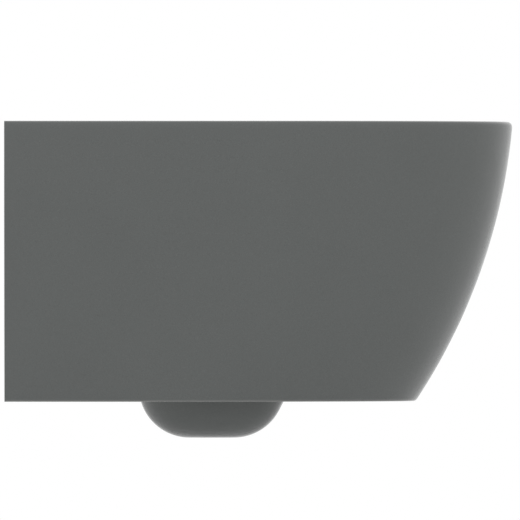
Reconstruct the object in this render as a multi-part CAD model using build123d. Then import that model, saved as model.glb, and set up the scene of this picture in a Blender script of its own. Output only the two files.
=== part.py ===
"""Wall hung toilet pan, shrouded, rimless, with concealed wall brackets and no seat.

Row frame: the origin is midway between the two wall studs, on the wall plane.
+Z is up, +Y points into the wall and the pan reaches forward along -Y.
Depths are measured forward from the wall and drops are measured down from the rim,
so a point at depth d and drop h lies at Y = -d and Z = RIM_RISE - h.
All sizes are in millimetres.
"""
import os
from math import cos, radians, sin, sqrt, tan

from build123d import *

# Overall size of the pan
LENGTH = 540.0
WIDTH = 355.0
SKIRT_HEIGHT = 297.5
TRAP_PROUD = 38.5

# Connection sizes that wall frames share
STUD_SPACING = 180.0
RIM_RISE = 80.0
INLET_RISE = 35.0
OUTLET_FALL = 100.0
SEAT_HOLE_SPACING = 155.0
SEAT_HOLE_RADIUS = 7.0
SEAT_HOLE_DEPTH = 95.0

# Outer form: the front and the sides lean in along large arcs centred above the rim
FRONT_ARC = 631.0
SIDE_ARC = 1900.0
ARC_CENTRE_RISE = 52.0
NOSE_LENGTH = 240.0
SKIRT_WALL = 10.5
BACK_EDGE_OVERRUN = 20.0
DECK_THICKNESS = 12.0
FOOT_FLANGE = 28.0
FOOT_THICKNESS = 10.0
RIM_ROUND = 6.5
LIP_ROUND = 4.0
FOOT_ROUND = 2.0
SKIRT_STATIONS = 7

# Bowl: opening in the deck, flush channel under it, then the basin down to the dip
SIDE_RIM = 40.5
FRONT_RIM = 41.0
OPENING_REAR = 150.0
OPENING_WIDEST = 300.0
CHANNEL_UNDERCUT = 8.5
CHANNEL_DROP = 40.0
LEDGE_DROP = 55.0
LEDGE_INSET = 8.0
BOWL_WALL = 10.0
DIP_PASSAGE = 63.0
DIP_HALF_WIDTH = 50.0
DIP_REAR = 214.0
DIP_FRONT = 303.0
DIP_WIDEST = 258.0
# One row for each level of the basin. Each number is a share of the way from the ledge to
# the dip: of the drop, the half width, the rear wall, the front wall and the widest line
BASIN_LEVELS = (
    (0.17, 0.139, 0.089, 0.106, 0.048),
    (0.36, 0.342, 0.232, 0.271, 0.190),
    (0.56, 0.582, 0.411, 0.495, 0.381),
    (0.73, 0.810, 0.625, 0.739, 0.667),
    (0.88, 0.937, 0.821, 0.899, 0.881),
    (1.00, 1.000, 1.000, 1.000, 1.000),
)
NECK_TOP_LEVEL = BASIN_LEVELS[3]
BASIN_REAR_WALL = 14.0
BASIN_FRONT_WALL = 13.0

# Trap: the swelling that shows below the skirt, then the leg that rises to the outlet
TRAP_REAR = 144.8
TRAP_FRONT = 296.5
TRAP_HALF_WIDTH = 62.0
TRAP_WALL = 11.0
TRAP_REAR_LEAN = 17.0
TRAP_FRONT_LEAN = 27.0
TRAP_SIDE_LEAN = 12.0
TRAP_ROUND = 54.0
NECK_BURY = 3.0
LEG_WALL = 10.0
LEG_HALF_HEIGHT = 26.0
LEG_HALF_WIDTH = 38.0
LEG_BEND = 60.0
LEG_BURY = 3.0
CROWN_DEPTH = 100.0
CROWN_HALF_HEIGHT = 32.0
SPIGOT_RADIUS = 51.0
SPIGOT_BORE = 42.5
SPIGOT_END = 15.0
SPIGOT_LENGTH = 47.0

# Flush inlet, its seal and the flow distributor
SOCKET_BORE = 27.5
SOCKET_RADIUS = 36.0
SOCKET_MOUTH = 8.0
SOCKET_DEPTH = 40.0
SOCKET_LENGTH = 50.0
WATERWAY_BORE = 17.0
WATERWAY_RADIUS = 27.0
FLUSH_PIPE_RADIUS = 22.5
SEAL_CLEARANCE = 0.2
SEAL_LENGTH = 34.0
SEAL_FLANGE_RADIUS = 32.0
SEAL_FLANGE = 3.0
SEAL_GROOVE = 1.6
NICHE_WALL = 8.0
NICHE_HALF_WIDTH = 38.0
NICHE_TOP_DROP = 16.0
NICHE_FLOOR_DROP = 62.0
NICHE_FRONT = 163.0
NICHE_ROUND = 9.0
HEAD_HALF_WIDTH = 30.0
HEAD_TOP_DROP = 26.0
HEAD_FLOOR_DROP = 58.0
HEAD_LENGTH = 15.0
HEAD_WALL = 2.5
HEAD_ROUND = 5.0
STUB_CLEARANCE = 0.3
STUB_WALL = 2.5
STUB_LENGTH = 26.0
GASKET = 2.0
GASKET_RADIUS = 23.0

# Concealed fixing: ribs in the pan, brackets on the wall studs, and cams that draw them up
RIB_DEPTH = 55.0
RIB_THICKNESS = 12.0
RIB_FOOT = 45.0
RIB_INNER_EDGE = 44.0
BRACKET_WIDTH = 36.0
BRACKET_HEIGHT = 30.0
BRACKET_SHEET = 3.0
BRACKET_REACH = 108.0
BRACKET_NOSE_ROUND = 10.0
FLANGE_SIZE = 60.0
FLANGE_ROUND = 6.0
STUD_HOLE_RADIUS = 6.5
WINDOW_SIDE_GAP = 1.5
WINDOW_FOOT_GAP = 1.5
SADDLE_SHEET = 2.0
SADDLE_COLLAR = 4.0
SADDLE_COLLAR_RISE = 4.0
SADDLE_END_GAP = 1.0
SADDLE_LIP = 6.0
SADDLE_LIP_GAP = 0.2
NUT_BORE = 6.1
NUT_ACROSS_FLATS = 18.0
NUT_HEIGHT = 10.0
NUT_CHAMFER = 1.2
WASHER_RADIUS = 11.5
WASHER_THICKNESS = 2.5
CAM_RADIUS = 16.0
CAM_THROW = 4.0
CAM_HEIGHT = 10.0
CAM_GAP = 0.3
CAM_EDGE = 1.0
CAM_SHAFT = 6.0
CAM_SHAFT_CLEARANCE = 0.1
CAM_SHAFT_PROUD = 5.0
CAM_KEY_ACROSS_FLATS = 8.0
CAM_KEY_DEPTH = 7.0
RING_GROOVE_DEPTH = 1.0
RING_THICKNESS = 1.2
RING_GAP = 0.3
RING_PLAY = 0.1
RING_RADIUS = 9.5
RING_MOUTH = 7.0

# Places worked out from the sizes above
ARC_TOP = sqrt(FRONT_ARC**2 - ARC_CENTRE_RISE**2)
SIDE_TOP = sqrt(SIDE_ARC**2 - ARC_CENTRE_RISE**2)
OPENING_HALF_WIDTH = WIDTH / 2 - SIDE_RIM
OPENING_FRONT = LENGTH - FRONT_RIM
CHANNEL_HALF_WIDTH = OPENING_HALF_WIDTH + CHANNEL_UNDERCUT
CHANNEL_REAR = OPENING_REAR - CHANNEL_UNDERCUT
CHANNEL_FRONT = OPENING_FRONT + CHANNEL_UNDERCUT
TRAP_FLOOR_DROP = SKIRT_HEIGHT + TRAP_PROUD
DIP_DROP = TRAP_FLOOR_DROP - TRAP_WALL - DIP_PASSAGE
INLET_DROP = RIM_RISE - INLET_RISE
OUTLET_DROP = RIM_RISE + OUTLET_FALL
STUD_X = STUD_SPACING / 2
BRACKET_TOP = BRACKET_HEIGHT / 2
SADDLE_TOP = BRACKET_TOP + SADDLE_SHEET
CAM_DEPTH = RIB_DEPTH + RIB_THICKNESS + CAM_RADIUS + CAM_THROW + CAM_GAP
CAM_TOP = -BRACKET_TOP - CAM_GAP
WASHER_DEPTH = BRACKET_SHEET
NUT_DEPTH = WASHER_DEPTH + WASHER_THICKNESS


def at(depth, drop, x=0.0):
    """The point at that depth from the wall and that drop below the rim."""
    return Vector(x, -depth, RIM_RISE - drop)


def level(drop):
    """A horizontal sketch plane at that drop below the rim."""
    return Plane(origin=(0, 0, RIM_RISE - drop), x_dir=(1, 0, 0), z_dir=(0, 0, 1))


def front_depth(drop):
    """Depth of the foremost point of the skirt at that drop."""
    return LENGTH - ARC_TOP + sqrt(FRONT_ARC**2 - (drop + ARC_CENTRE_RISE) ** 2)


def side_reach(drop):
    """Half width of the skirt at that drop."""
    return WIDTH / 2 - SIDE_TOP + sqrt(SIDE_ARC**2 - (drop + ARC_CENTRE_RISE) ** 2)


def skirt_section(drop, inset=0.0, overrun=0.0):
    """The skirt's plan: a straight back, straight sides and a half ellipse for the nose."""
    half = side_reach(drop) - inset
    front = front_depth(drop) - inset
    nose = NOSE_LENGTH - inset
    start = -(front - nose)
    outline = [
        Line((half, overrun), (-half, overrun)),
        Line((-half, overrun), (-half, start)),
        EllipticalCenterArc((0, start), half, nose, start_angle=180, arc_size=90),
        EllipticalCenterArc((0, start), half, nose, start_angle=270, arc_size=90),
        Line((half, start), (half, overrun)),
    ]
    return level(drop) * make_face(Wire(outline))


def egg_section(drop, half, rear, front, widest):
    """A closed plan made of a front and a rear half ellipse that meet at the widest line."""
    centre = (0, -widest)
    quarters = [
        EllipticalCenterArc(centre, half, widest - rear, start_angle=0, arc_size=90),
        EllipticalCenterArc(centre, half, widest - rear, start_angle=90, arc_size=90),
        EllipticalCenterArc(centre, half, front - widest, start_angle=180, arc_size=90),
        EllipticalCenterArc(centre, half, front - widest, start_angle=270, arc_size=90),
    ]
    return level(drop) * make_face(Wire(quarters))


def skirt_block(top, bottom, inset=0.0, overrun=0.0):
    """The skirt's outer form, or the same form set in, between two drops."""
    step = (bottom - top) / (SKIRT_STATIONS - 1)
    drops = [top + step * i for i in range(SKIRT_STATIONS)]
    return loft([skirt_section(drop, inset, overrun) for drop in drops])


def tube(depth_from, depth_to, drop, radius, x=0.0):
    """A round bar along Y between two depths."""
    plane = Plane(origin=at(depth_from, drop, x), x_dir=(1, 0, 0), z_dir=(0, -1, 0))
    return extrude(plane * Circle(radius), depth_to - depth_from)


def block(x_from, x_to, depth_from, depth_to, z_from, z_to):
    """A square block between two corners."""
    size = (x_to - x_from, depth_to - depth_from, z_to - z_from)
    centre = ((x_from + x_to) / 2, -(depth_from + depth_to) / 2, (z_from + z_to) / 2)
    return Pos(*centre) * Box(*size)


def upright(x, depth, z_from, z_to, radius):
    """A round bar along Z between two heights."""
    return Pos(x, -depth, z_from) * extrude(Circle(radius), z_to - z_from)


def basin_plan(shares):
    """Drop, half width, rear, front and widest line of a level, from its shares."""
    ledge = (
        LEDGE_DROP,
        OPENING_HALF_WIDTH - LEDGE_INSET,
        OPENING_REAR + LEDGE_INSET,
        OPENING_FRONT - LEDGE_INSET,
        OPENING_WIDEST,
    )
    dip = (DIP_DROP, DIP_HALF_WIDTH, DIP_REAR, DIP_FRONT, DIP_WIDEST)
    return [start + share * (end - start) for share, start, end in zip(shares, ledge, dip)]


def bowl_form(side_wall, rear_wall, front_wall, top_drop=DECK_THICKNESS):
    """The inside of the bowl, or its outside when walls are given, from the deck to the dip."""
    channel = (
        CHANNEL_HALF_WIDTH + side_wall,
        CHANNEL_REAR - side_wall,
        CHANNEL_FRONT + side_wall,
        OPENING_WIDEST,
    )
    ledge = (
        OPENING_HALF_WIDTH - LEDGE_INSET + side_wall,
        OPENING_REAR + LEDGE_INSET - side_wall,
        OPENING_FRONT - LEDGE_INSET + side_wall,
        OPENING_WIDEST,
    )
    throat = extrude(egg_section(CHANNEL_DROP, *channel), CHANNEL_DROP - top_drop)
    slope = loft([egg_section(CHANNEL_DROP, *channel), egg_section(LEDGE_DROP, *ledge)], ruled=True)
    sections = [egg_section(LEDGE_DROP, *ledge)]
    for shares in BASIN_LEVELS:
        drop, half, rear, front, widest = basin_plan(shares)
        rear_set = side_wall + shares[0] * (rear_wall - side_wall)
        front_set = side_wall + shares[0] * (front_wall - side_wall)
        sections.append(egg_section(drop, half + side_wall, rear - rear_set, front + front_set, widest))
    return throat + slope + loft(sections)


def trap_section(drop, wall):
    """Plan of the trap's swelling at a drop, with its wall taken off when one is given."""
    below = drop - SKIRT_HEIGHT
    rear = TRAP_REAR + wall + below * tan(radians(TRAP_REAR_LEAN))
    front = TRAP_FRONT - wall - below * tan(radians(TRAP_FRONT_LEAN))
    side = TRAP_HALF_WIDTH - wall - below * tan(radians(TRAP_SIDE_LEAN))
    return egg_section(drop, side, rear, front, (rear + front) / 2)


def trap_form(wall):
    """The trap's swelling from the dip down: leaning walls that round into the floor."""
    floor = TRAP_FLOOR_DROP - wall
    cone = loft([trap_section(DIP_DROP, wall), trap_section(floor, wall)], ruled=True)
    floor_edges = cone.faces().sort_by(Axis.Z)[0].edges()
    return fillet(floor_edges, TRAP_ROUND - wall)


def neck_form():
    """China that flares from the trap's top into the outside of the basin."""
    drop, half, rear, front, widest = basin_plan(NECK_TOP_LEVEL)
    grow = BOWL_WALL - NECK_BURY
    top = egg_section(drop, half + grow, rear - grow, front + grow, widest)
    return loft([top, trap_section(DIP_DROP, 0)], ruled=True)


def leg_section(depth, drop, climb, half_height, half_width):
    """An oval across the leg, whose axis climbs towards the wall at that angle."""
    along = Vector(0, cos(radians(climb)), sin(radians(climb)))
    plane = Plane(origin=at(depth, drop), x_dir=(1, 0, 0), z_dir=along)
    return plane * Ellipse(half_width, half_height)


def leg_form(wall):
    """The leg that rises from the trap, bends over at the crown and runs out level."""
    climb = 90.0 - TRAP_REAR_LEAN
    bend_depth = CROWN_DEPTH + LEG_BEND * sin(radians(climb))
    bend_drop = OUTLET_DROP + LEG_BEND * (1 - cos(radians(climb)))
    foot_drop = SKIRT_HEIGHT - LEG_BURY
    foot_depth = bend_depth + (foot_drop - bend_drop) * tan(radians(TRAP_REAR_LEAN))
    oval = (LEG_HALF_HEIGHT + wall, LEG_HALF_WIDTH + wall)
    straight = [leg_section(foot_depth, foot_drop, climb, *oval)]
    straight.append(leg_section(bend_depth, bend_drop, climb, *oval))
    sections = []
    for share in (0.0, 0.33, 0.67, 1.0):
        angle = climb * (1 - share)
        depth = CROWN_DEPTH + LEG_BEND * sin(radians(angle))
        drop = OUTLET_DROP + LEG_BEND * (1 - cos(radians(angle)))
        half_height = LEG_HALF_HEIGHT + share * (CROWN_HALF_HEIGHT - LEG_HALF_HEIGHT)
        sections.append(leg_section(depth, drop, angle, half_height + wall, LEG_HALF_WIDTH + wall))
    pipe = SPIGOT_RADIUS if wall else SPIGOT_BORE
    spigot_start = SPIGOT_END + SPIGOT_LENGTH
    sections.append(leg_section(spigot_start, OUTLET_DROP, 0, pipe, pipe))
    over = 0.0 if wall else 1.0
    pipe_end = tube(SPIGOT_END - over, spigot_start, OUTLET_DROP, pipe)
    return loft(straight, ruled=True) + loft(sections) + pipe_end


def layer(shape, top, bottom):
    """The part of a shape between two drops below the rim."""
    return shape & block(-WIDTH, WIDTH, -1, LENGTH + 1, RIM_RISE - bottom, RIM_RISE - top)


def jacket():
    """Outer jacket: deck and rim, leaning walls and the flange turned in at the foot."""
    shell = skirt_block(0, SKIRT_HEIGHT, 0, BACK_EDGE_OVERRUN)
    shell -= block(-WIDTH, WIDTH, -2 * BACK_EDGE_OVERRUN, 0, -LENGTH, LENGTH)
    top_edges = shell.faces().sort_by(Axis.Z)[-1].edges().sort_by(Axis.Y)[:-1]
    shell = fillet(top_edges, RIM_ROUND)
    foot_edges = shell.faces().sort_by(Axis.Z)[0].edges().sort_by(Axis.Y)[:-1]
    shell = fillet(foot_edges, FOOT_ROUND)
    hollow = skirt_block(DECK_THICKNESS, SKIRT_HEIGHT - FOOT_THICKNESS, SKIRT_WALL, BACK_EDGE_OVERRUN)
    foot_gap = skirt_block(
        SKIRT_HEIGHT - FOOT_THICKNESS - 1, SKIRT_HEIGHT + 1, FOOT_FLANGE, BACK_EDGE_OVERRUN
    )
    opening = (OPENING_HALF_WIDTH, OPENING_REAR, OPENING_FRONT, OPENING_WIDEST)
    mouth = extrude(egg_section(DECK_THICKNESS + 1, *opening), DECK_THICKNESS + 2)
    shell = shell - hollow - foot_gap - mouth
    rim_face = shell.faces().sort_by(Axis.Z)[-1]
    lip_edges = rim_face.inner_wires()[0].edges()
    shell = fillet(lip_edges, LIP_ROUND)
    for side in (-1, 1):
        x = side * SEAT_HOLE_SPACING / 2
        top, bottom = RIM_RISE + 1, RIM_RISE - DECK_THICKNESS - 1
        shell -= upright(x, SEAT_HOLE_DEPTH, bottom, top, SEAT_HOLE_RADIUS)
    return shell


def jacket_pieces():
    """The jacket told apart by level, so that each piece bends one way only."""
    shell = jacket()
    foot_top = SKIRT_HEIGHT - FOOT_THICKNESS
    return {
        "pan_rim": layer(shell, -1, DECK_THICKNESS),
        "pan_skirt": layer(shell, DECK_THICKNESS, foot_top),
        "pan_foot": layer(shell, foot_top, SKIRT_HEIGHT + 1),
    }


def niche():
    """Space at the back of the flush channel, where the distributor stands."""
    space = block(
        -NICHE_HALF_WIDTH,
        NICHE_HALF_WIDTH,
        CHANNEL_REAR,
        NICHE_FRONT,
        RIM_RISE - NICHE_FLOOR_DROP,
        RIM_RISE - NICHE_TOP_DROP,
    )
    return fillet(space.edges().filter_by(Axis.Y), NICHE_ROUND)


def waterway():
    """Bore that carries the flush from the socket into the niche."""
    return tube(SOCKET_MOUTH, NICHE_FRONT, INLET_DROP, WATERWAY_BORE)


def bowl_pieces():
    """Flush channel down to the ledge, and the basin down to the lower edge of the dip."""
    solid = bowl_form(BOWL_WALL, BASIN_REAR_WALL, BASIN_FRONT_WALL)
    solid = solid - bowl_form(0, 0, 0) - niche() - waterway()
    return {
        "pan_channel": layer(solid, 0, LEDGE_DROP),
        "pan_basin": layer(solid, LEDGE_DROP, DIP_DROP + 1),
    }


def trapway_pieces():
    """The trap's cup below the dip, its neck on each side, the rising leg and the outlet."""
    solid = trap_form(0) + neck_form() + leg_form(LEG_WALL)
    solid -= bowl_form(BOWL_WALL, BASIN_REAR_WALL, BASIN_FRONT_WALL)
    solid = solid - trap_form(TRAP_WALL) - leg_form(0)
    upper = layer(solid, 0, DIP_DROP)
    neck_from = DIP_REAR - BASIN_REAR_WALL
    return {
        "pan_trap": layer(solid, DIP_DROP, TRAP_FLOOR_DROP + 1),
        "pan_neck_left": upper & block(-WIDTH, 0, neck_from, LENGTH, -LENGTH, LENGTH),
        "pan_neck_right": upper & block(0, WIDTH, neck_from, LENGTH, -LENGTH, LENGTH),
        "pan_leg": upper & block(-WIDTH, WIDTH, CROWN_DEPTH, neck_from, -LENGTH, LENGTH),
        "pan_outlet": upper & block(-WIDTH, WIDTH, 0, CROWN_DEPTH, -LENGTH, LENGTH),
    }


def pan_inlet():
    """Socket for the flush pipe, the waterway behind it and the china round the niche."""
    socket_end = SOCKET_MOUTH + SOCKET_LENGTH
    outer = tube(SOCKET_MOUTH, socket_end, INLET_DROP, SOCKET_RADIUS)
    outer += tube(socket_end, CHANNEL_REAR, INLET_DROP, WATERWAY_RADIUS)
    half = NICHE_HALF_WIDTH + NICHE_WALL
    foot = RIM_RISE - NICHE_FLOOR_DROP - NICHE_WALL
    outer += block(-half, half, CHANNEL_REAR - NICHE_WALL, NICHE_FRONT, foot, RIM_RISE)
    outer -= tube(SOCKET_MOUTH - 1, SOCKET_MOUTH + SOCKET_DEPTH, INLET_DROP, SOCKET_BORE)
    outer -= waterway()
    outer -= niche()
    outer -= bowl_form(BOWL_WALL, BASIN_REAR_WALL, BASIN_FRONT_WALL)
    headroom = block(-WIDTH, WIDTH, -1, LENGTH, RIM_RISE - DECK_THICKNESS, RIM_RISE + 1)
    return outer - headroom


def window(side):
    """Hole in a rib that the bracket and its saddle pass through."""
    half = BRACKET_WIDTH / 2 + WINDOW_SIDE_GAP
    x = side * STUD_X
    return block(x - half, x + half, 0, LENGTH, -BRACKET_TOP - WINDOW_FOOT_GAP, SADDLE_TOP)


def pan_rib(side):
    """China rib across the back of the pan, which hangs on the bracket."""
    deck_underside = RIM_RISE - DECK_THICKNESS
    reach = (RIB_INNER_EDGE, WIDTH) if side > 0 else (-WIDTH, -RIB_INNER_EDGE)
    plate = block(*reach, RIB_DEPTH, RIB_DEPTH + RIB_THICKNESS, -RIB_FOOT, deck_underside)
    inside = skirt_block(DECK_THICKNESS, SKIRT_HEIGHT - FOOT_THICKNESS, SKIRT_WALL, BACK_EDGE_OVERRUN)
    return (plate & inside) - window(side)


def wall_bracket(side):
    """Bent steel: a flange on the stud and a channel that carries the rib."""
    x = side * STUD_X
    half, inner = BRACKET_WIDTH / 2, BRACKET_WIDTH / 2 - BRACKET_SHEET
    plane = Plane(origin=(x, 0, 0), x_dir=(1, 0, 0), z_dir=(0, -1, 0))
    flange = extrude(plane * RectangleRounded(FLANGE_SIZE, FLANGE_SIZE, FLANGE_ROUND), BRACKET_SHEET)
    arm = block(x - half, x + half, 0, BRACKET_REACH, -BRACKET_TOP, BRACKET_TOP)
    nose = arm.edges().filter_by(Axis.X).group_by(Axis.Y)[0].sort_by(Axis.Z)[-1]
    arm = fillet(nose, BRACKET_NOSE_ROUND)
    floor = -BRACKET_TOP + BRACKET_SHEET
    arm -= block(x - inner, x + inner, BRACKET_SHEET, BRACKET_REACH + 1, floor, BRACKET_TOP + 1)
    body = flange + arm
    body -= tube(-1, BRACKET_SHEET + 1, RIM_RISE, STUD_HOLE_RADIUS, x)
    shaft_hole = CAM_SHAFT + CAM_SHAFT_CLEARANCE
    return body - upright(x, CAM_DEPTH, -BRACKET_TOP - 1, floor + 1, shaft_hole)


def bracket_saddle(side):
    """Nylon cap on the channel that the rib rests on, with a collar at each end."""
    x = side * STUD_X
    half = BRACKET_WIDTH / 2
    start = RIB_DEPTH - SADDLE_END_GAP
    end = RIB_DEPTH + RIB_THICKNESS + SADDLE_END_GAP
    cap = block(x - half, x + half, start - SADDLE_COLLAR, end + SADDLE_COLLAR, BRACKET_TOP, SADDLE_TOP)
    for near, far in ((start - SADDLE_COLLAR, start), (end, end + SADDLE_COLLAR)):
        cap += block(x - half, x + half, near, far, SADDLE_TOP, SADDLE_TOP + SADDLE_COLLAR_RISE)
    lip_out = half - BRACKET_SHEET - SADDLE_LIP_GAP
    for hand in (-1, 1):
        edges = sorted((x + hand * lip_out, x + hand * (lip_out - SADDLE_SHEET)))
        cap += block(*edges, start, end, BRACKET_TOP - SADDLE_LIP, BRACKET_TOP)
    return cap


def stud_washer(side):
    """Flat washer between bracket and nut."""
    x = side * STUD_X
    ring = tube(WASHER_DEPTH, WASHER_DEPTH + WASHER_THICKNESS, RIM_RISE, WASHER_RADIUS, x)
    return ring - tube(WASHER_DEPTH - 1, NUT_DEPTH + 1, RIM_RISE, STUD_HOLE_RADIUS, x)


def stud_nut(side):
    """Hexagon nut for the wall stud, with its corners turned off."""
    x = side * STUD_X
    plane = Plane(origin=(x, -NUT_DEPTH, 0), x_dir=(1, 0, 0), z_dir=(0, -1, 0))
    hexagon = RegularPolygon(NUT_ACROSS_FLATS / 2, 6, major_radius=False)
    body = extrude(plane * hexagon, NUT_HEIGHT)
    turned = Pos(x, -NUT_DEPTH - NUT_HEIGHT / 2, 0) * Rot(90, 0, 0) * Cylinder(
        NUT_ACROSS_FLATS / sqrt(3), NUT_HEIGHT
    )
    turned = chamfer(turned.edges().filter_by(GeomType.CIRCLE), NUT_CHAMFER)
    return (body & turned) - tube(NUT_DEPTH - 1, NUT_DEPTH + NUT_HEIGHT + 1, RIM_RISE, NUT_BORE, x)


def clamp_cam(side):
    """Eccentric disc that draws the rib to the wall, with its pivot and a key socket below."""
    x = side * STUD_X
    disc = upright(x, CAM_DEPTH - CAM_THROW, CAM_TOP - CAM_HEIGHT, CAM_TOP, CAM_RADIUS)
    disc = chamfer(disc.edges().filter_by(GeomType.CIRCLE), CAM_EDGE)
    floor = -BRACKET_TOP + BRACKET_SHEET
    shaft = upright(x, CAM_DEPTH, CAM_TOP - CAM_EDGE, floor + CAM_SHAFT_PROUD, CAM_SHAFT)
    groove_from = floor + RING_GAP - RING_PLAY
    groove_to = floor + RING_GAP + RING_THICKNESS + RING_PLAY
    groove = upright(x, CAM_DEPTH, groove_from, groove_to, CAM_SHAFT + 1)
    groove -= upright(x, CAM_DEPTH, groove_from - 1, groove_to + 1, CAM_SHAFT - RING_GROOVE_DEPTH)
    key_plane = Plane(origin=(x, -CAM_DEPTH, CAM_TOP - CAM_HEIGHT - 1), z_dir=(0, 0, 1))
    key = extrude(
        key_plane * RegularPolygon(CAM_KEY_ACROSS_FLATS / 2, 6, major_radius=False), CAM_KEY_DEPTH + 1
    )
    return disc + shaft - groove - key


def cam_ring(side):
    """Spring ring in the groove of the cam's pivot, open on the side away from the wall."""
    x = side * STUD_X
    foot = -BRACKET_TOP + BRACKET_SHEET + RING_GAP
    inner = CAM_SHAFT - RING_GROOVE_DEPTH + RING_PLAY
    ring = upright(x, CAM_DEPTH, foot, foot + RING_THICKNESS, RING_RADIUS)
    ring -= upright(x, CAM_DEPTH, foot - 1, foot + RING_THICKNESS + 1, inner)
    half = RING_MOUTH / 2
    return ring - block(x - half, x + half, CAM_DEPTH, CAM_DEPTH + 2 * RING_RADIUS, foot - 1, foot + 3)


def inlet_seal():
    """Rubber collar in the socket: a flange outside, grooves round it and the pipe's bore."""
    outer = SOCKET_BORE - SEAL_CLEARANCE
    end = SOCKET_MOUTH + SEAL_LENGTH
    collar = tube(SOCKET_MOUTH, end, INLET_DROP, outer)
    collar += tube(SOCKET_MOUTH - SEAL_FLANGE, SOCKET_MOUTH, INLET_DROP, SEAL_FLANGE_RADIUS)
    for share in (0.3, 0.55, 0.8):
        start = SOCKET_MOUTH + share * SEAL_LENGTH
        groove = tube(start, start + SEAL_GROOVE, INLET_DROP, outer + 1)
        collar -= groove - tube(start - 1, start + SEAL_GROOVE + 1, INLET_DROP, outer - SEAL_GROOVE)
    return collar - tube(0, end + 1, INLET_DROP, FLUSH_PIPE_RADIUS)


def flow_distributor():
    """Plastic insert that turns the flush left, right and down along the channel."""
    back = CHANNEL_REAR + GASKET
    front = back + HEAD_LENGTH
    top, floor = RIM_RISE - HEAD_TOP_DROP, RIM_RISE - HEAD_FLOOR_DROP
    head = block(-HEAD_HALF_WIDTH, HEAD_HALF_WIDTH, back, front, floor, top)
    head = fillet(head.edges().filter_by(Axis.Y), HEAD_ROUND)
    head -= block(
        -HEAD_HALF_WIDTH - 1,
        HEAD_HALF_WIDTH + 1,
        back + HEAD_WALL,
        front - HEAD_WALL,
        floor + 3 * HEAD_WALL,
        top - 3 * HEAD_WALL,
    )
    slot = HEAD_HALF_WIDTH / 2
    head -= block(-slot, slot, back + 2 * HEAD_WALL, front - 2 * HEAD_WALL, floor - 1, top - 4 * HEAD_WALL)
    stub_radius = WATERWAY_BORE - STUB_CLEARANCE
    head += tube(back - STUB_LENGTH, back, INLET_DROP, stub_radius)
    bore = stub_radius - STUB_WALL
    bore_drop = min(bore, (HEAD_FLOOR_DROP - HEAD_TOP_DROP) / 2 - 3 * HEAD_WALL)
    head -= tube(back - STUB_LENGTH - 1, back, INLET_DROP, bore)
    return head - tube(back - 1, back + HEAD_WALL + 1, (HEAD_TOP_DROP + HEAD_FLOOR_DROP) / 2, bore_drop)


def distributor_gasket():
    """Soft ring squeezed between the distributor's head and the china."""
    gap = SEAL_CLEARANCE / 2
    ring = tube(CHANNEL_REAR + gap, CHANNEL_REAR + GASKET - gap, INLET_DROP, GASKET_RADIUS)
    inner = tube(CHANNEL_REAR, CHANNEL_REAR + GASKET, INLET_DROP, WATERWAY_BORE)
    floor = block(-WIDTH, WIDTH, 0, LENGTH, -RIM_RISE, RIM_RISE - NICHE_FLOOR_DROP + gap)
    return ring - inner - floor


def main():
    """Builds every piece and writes one STEP file for each node."""
    os.makedirs("parts", exist_ok=True)
    pieces = {
        **jacket_pieces(),
        **bowl_pieces(),
        **trapway_pieces(),
        "pan_inlet": pan_inlet(),
        "inlet_seal": inlet_seal(),
        "flow_distributor": flow_distributor(),
        "distributor_gasket": distributor_gasket(),
    }
    handed = {
        "pan_rib": pan_rib,
        "wall_bracket": wall_bracket,
        "bracket_saddle": bracket_saddle,
        "stud_washer": stud_washer,
        "stud_nut": stud_nut,
        "clamp_cam": clamp_cam,
        "cam_ring": cam_ring,
    }
    for name, make in handed.items():
        for hand, side in (("left", -1), ("right", 1)):
            pieces[f"{name}_{hand}"] = make(side)
    for name, shape in pieces.items():
        export_step(shape, f"parts/{name}.step")


main()
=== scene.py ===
# %% [markdown]
# # A wall hung toilet, dressed in Blender
#
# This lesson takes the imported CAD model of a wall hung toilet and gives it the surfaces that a
# photographer would see: satin grey glaze, bare fired china where the glaze stops, bent steel,
# nylon and rubber. The CAD model is the fixed frame. Every new piece sits where its CAD solid
# sits, so nothing here has to be fitted by eye.
#
# Blender works in metres. The sizes below are written in millimetres, as on a drawing, and are
# turned into metres when a mesh is made. A depth is measured forward from the wall, so it is
# minus y, and a drop is measured down from the rim.

# %% Load the frame
from math import pi, radians, sin, tan

import bmesh
import bpy
import numpy as np
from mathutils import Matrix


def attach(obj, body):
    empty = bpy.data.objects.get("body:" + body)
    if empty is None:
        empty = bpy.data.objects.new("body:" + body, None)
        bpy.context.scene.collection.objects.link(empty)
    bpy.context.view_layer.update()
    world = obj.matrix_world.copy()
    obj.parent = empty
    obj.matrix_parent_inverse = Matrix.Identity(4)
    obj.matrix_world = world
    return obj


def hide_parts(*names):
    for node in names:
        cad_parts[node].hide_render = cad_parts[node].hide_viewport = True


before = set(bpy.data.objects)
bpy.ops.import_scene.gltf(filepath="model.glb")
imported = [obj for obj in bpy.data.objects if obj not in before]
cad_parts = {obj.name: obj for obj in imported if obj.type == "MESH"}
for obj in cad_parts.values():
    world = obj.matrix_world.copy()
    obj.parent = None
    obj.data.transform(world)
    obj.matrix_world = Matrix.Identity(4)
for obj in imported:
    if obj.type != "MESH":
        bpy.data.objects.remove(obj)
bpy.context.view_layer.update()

# %% [markdown]
# ## Step 1: from formulas to meshes
#
# Slip-cast china has no straight edges and no seams, so its surfaces suit a grid: rows of points
# whose places come from a formula. A subdivision surface pulled into shape by hand would also
# do, but a formula follows the drawing exactly and is changed later by one number.
#
# A piece is usually several patches that share their borders: grids, flat caps and poles. Each
# is an array of points with an array of faces, which name points by number.


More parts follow.
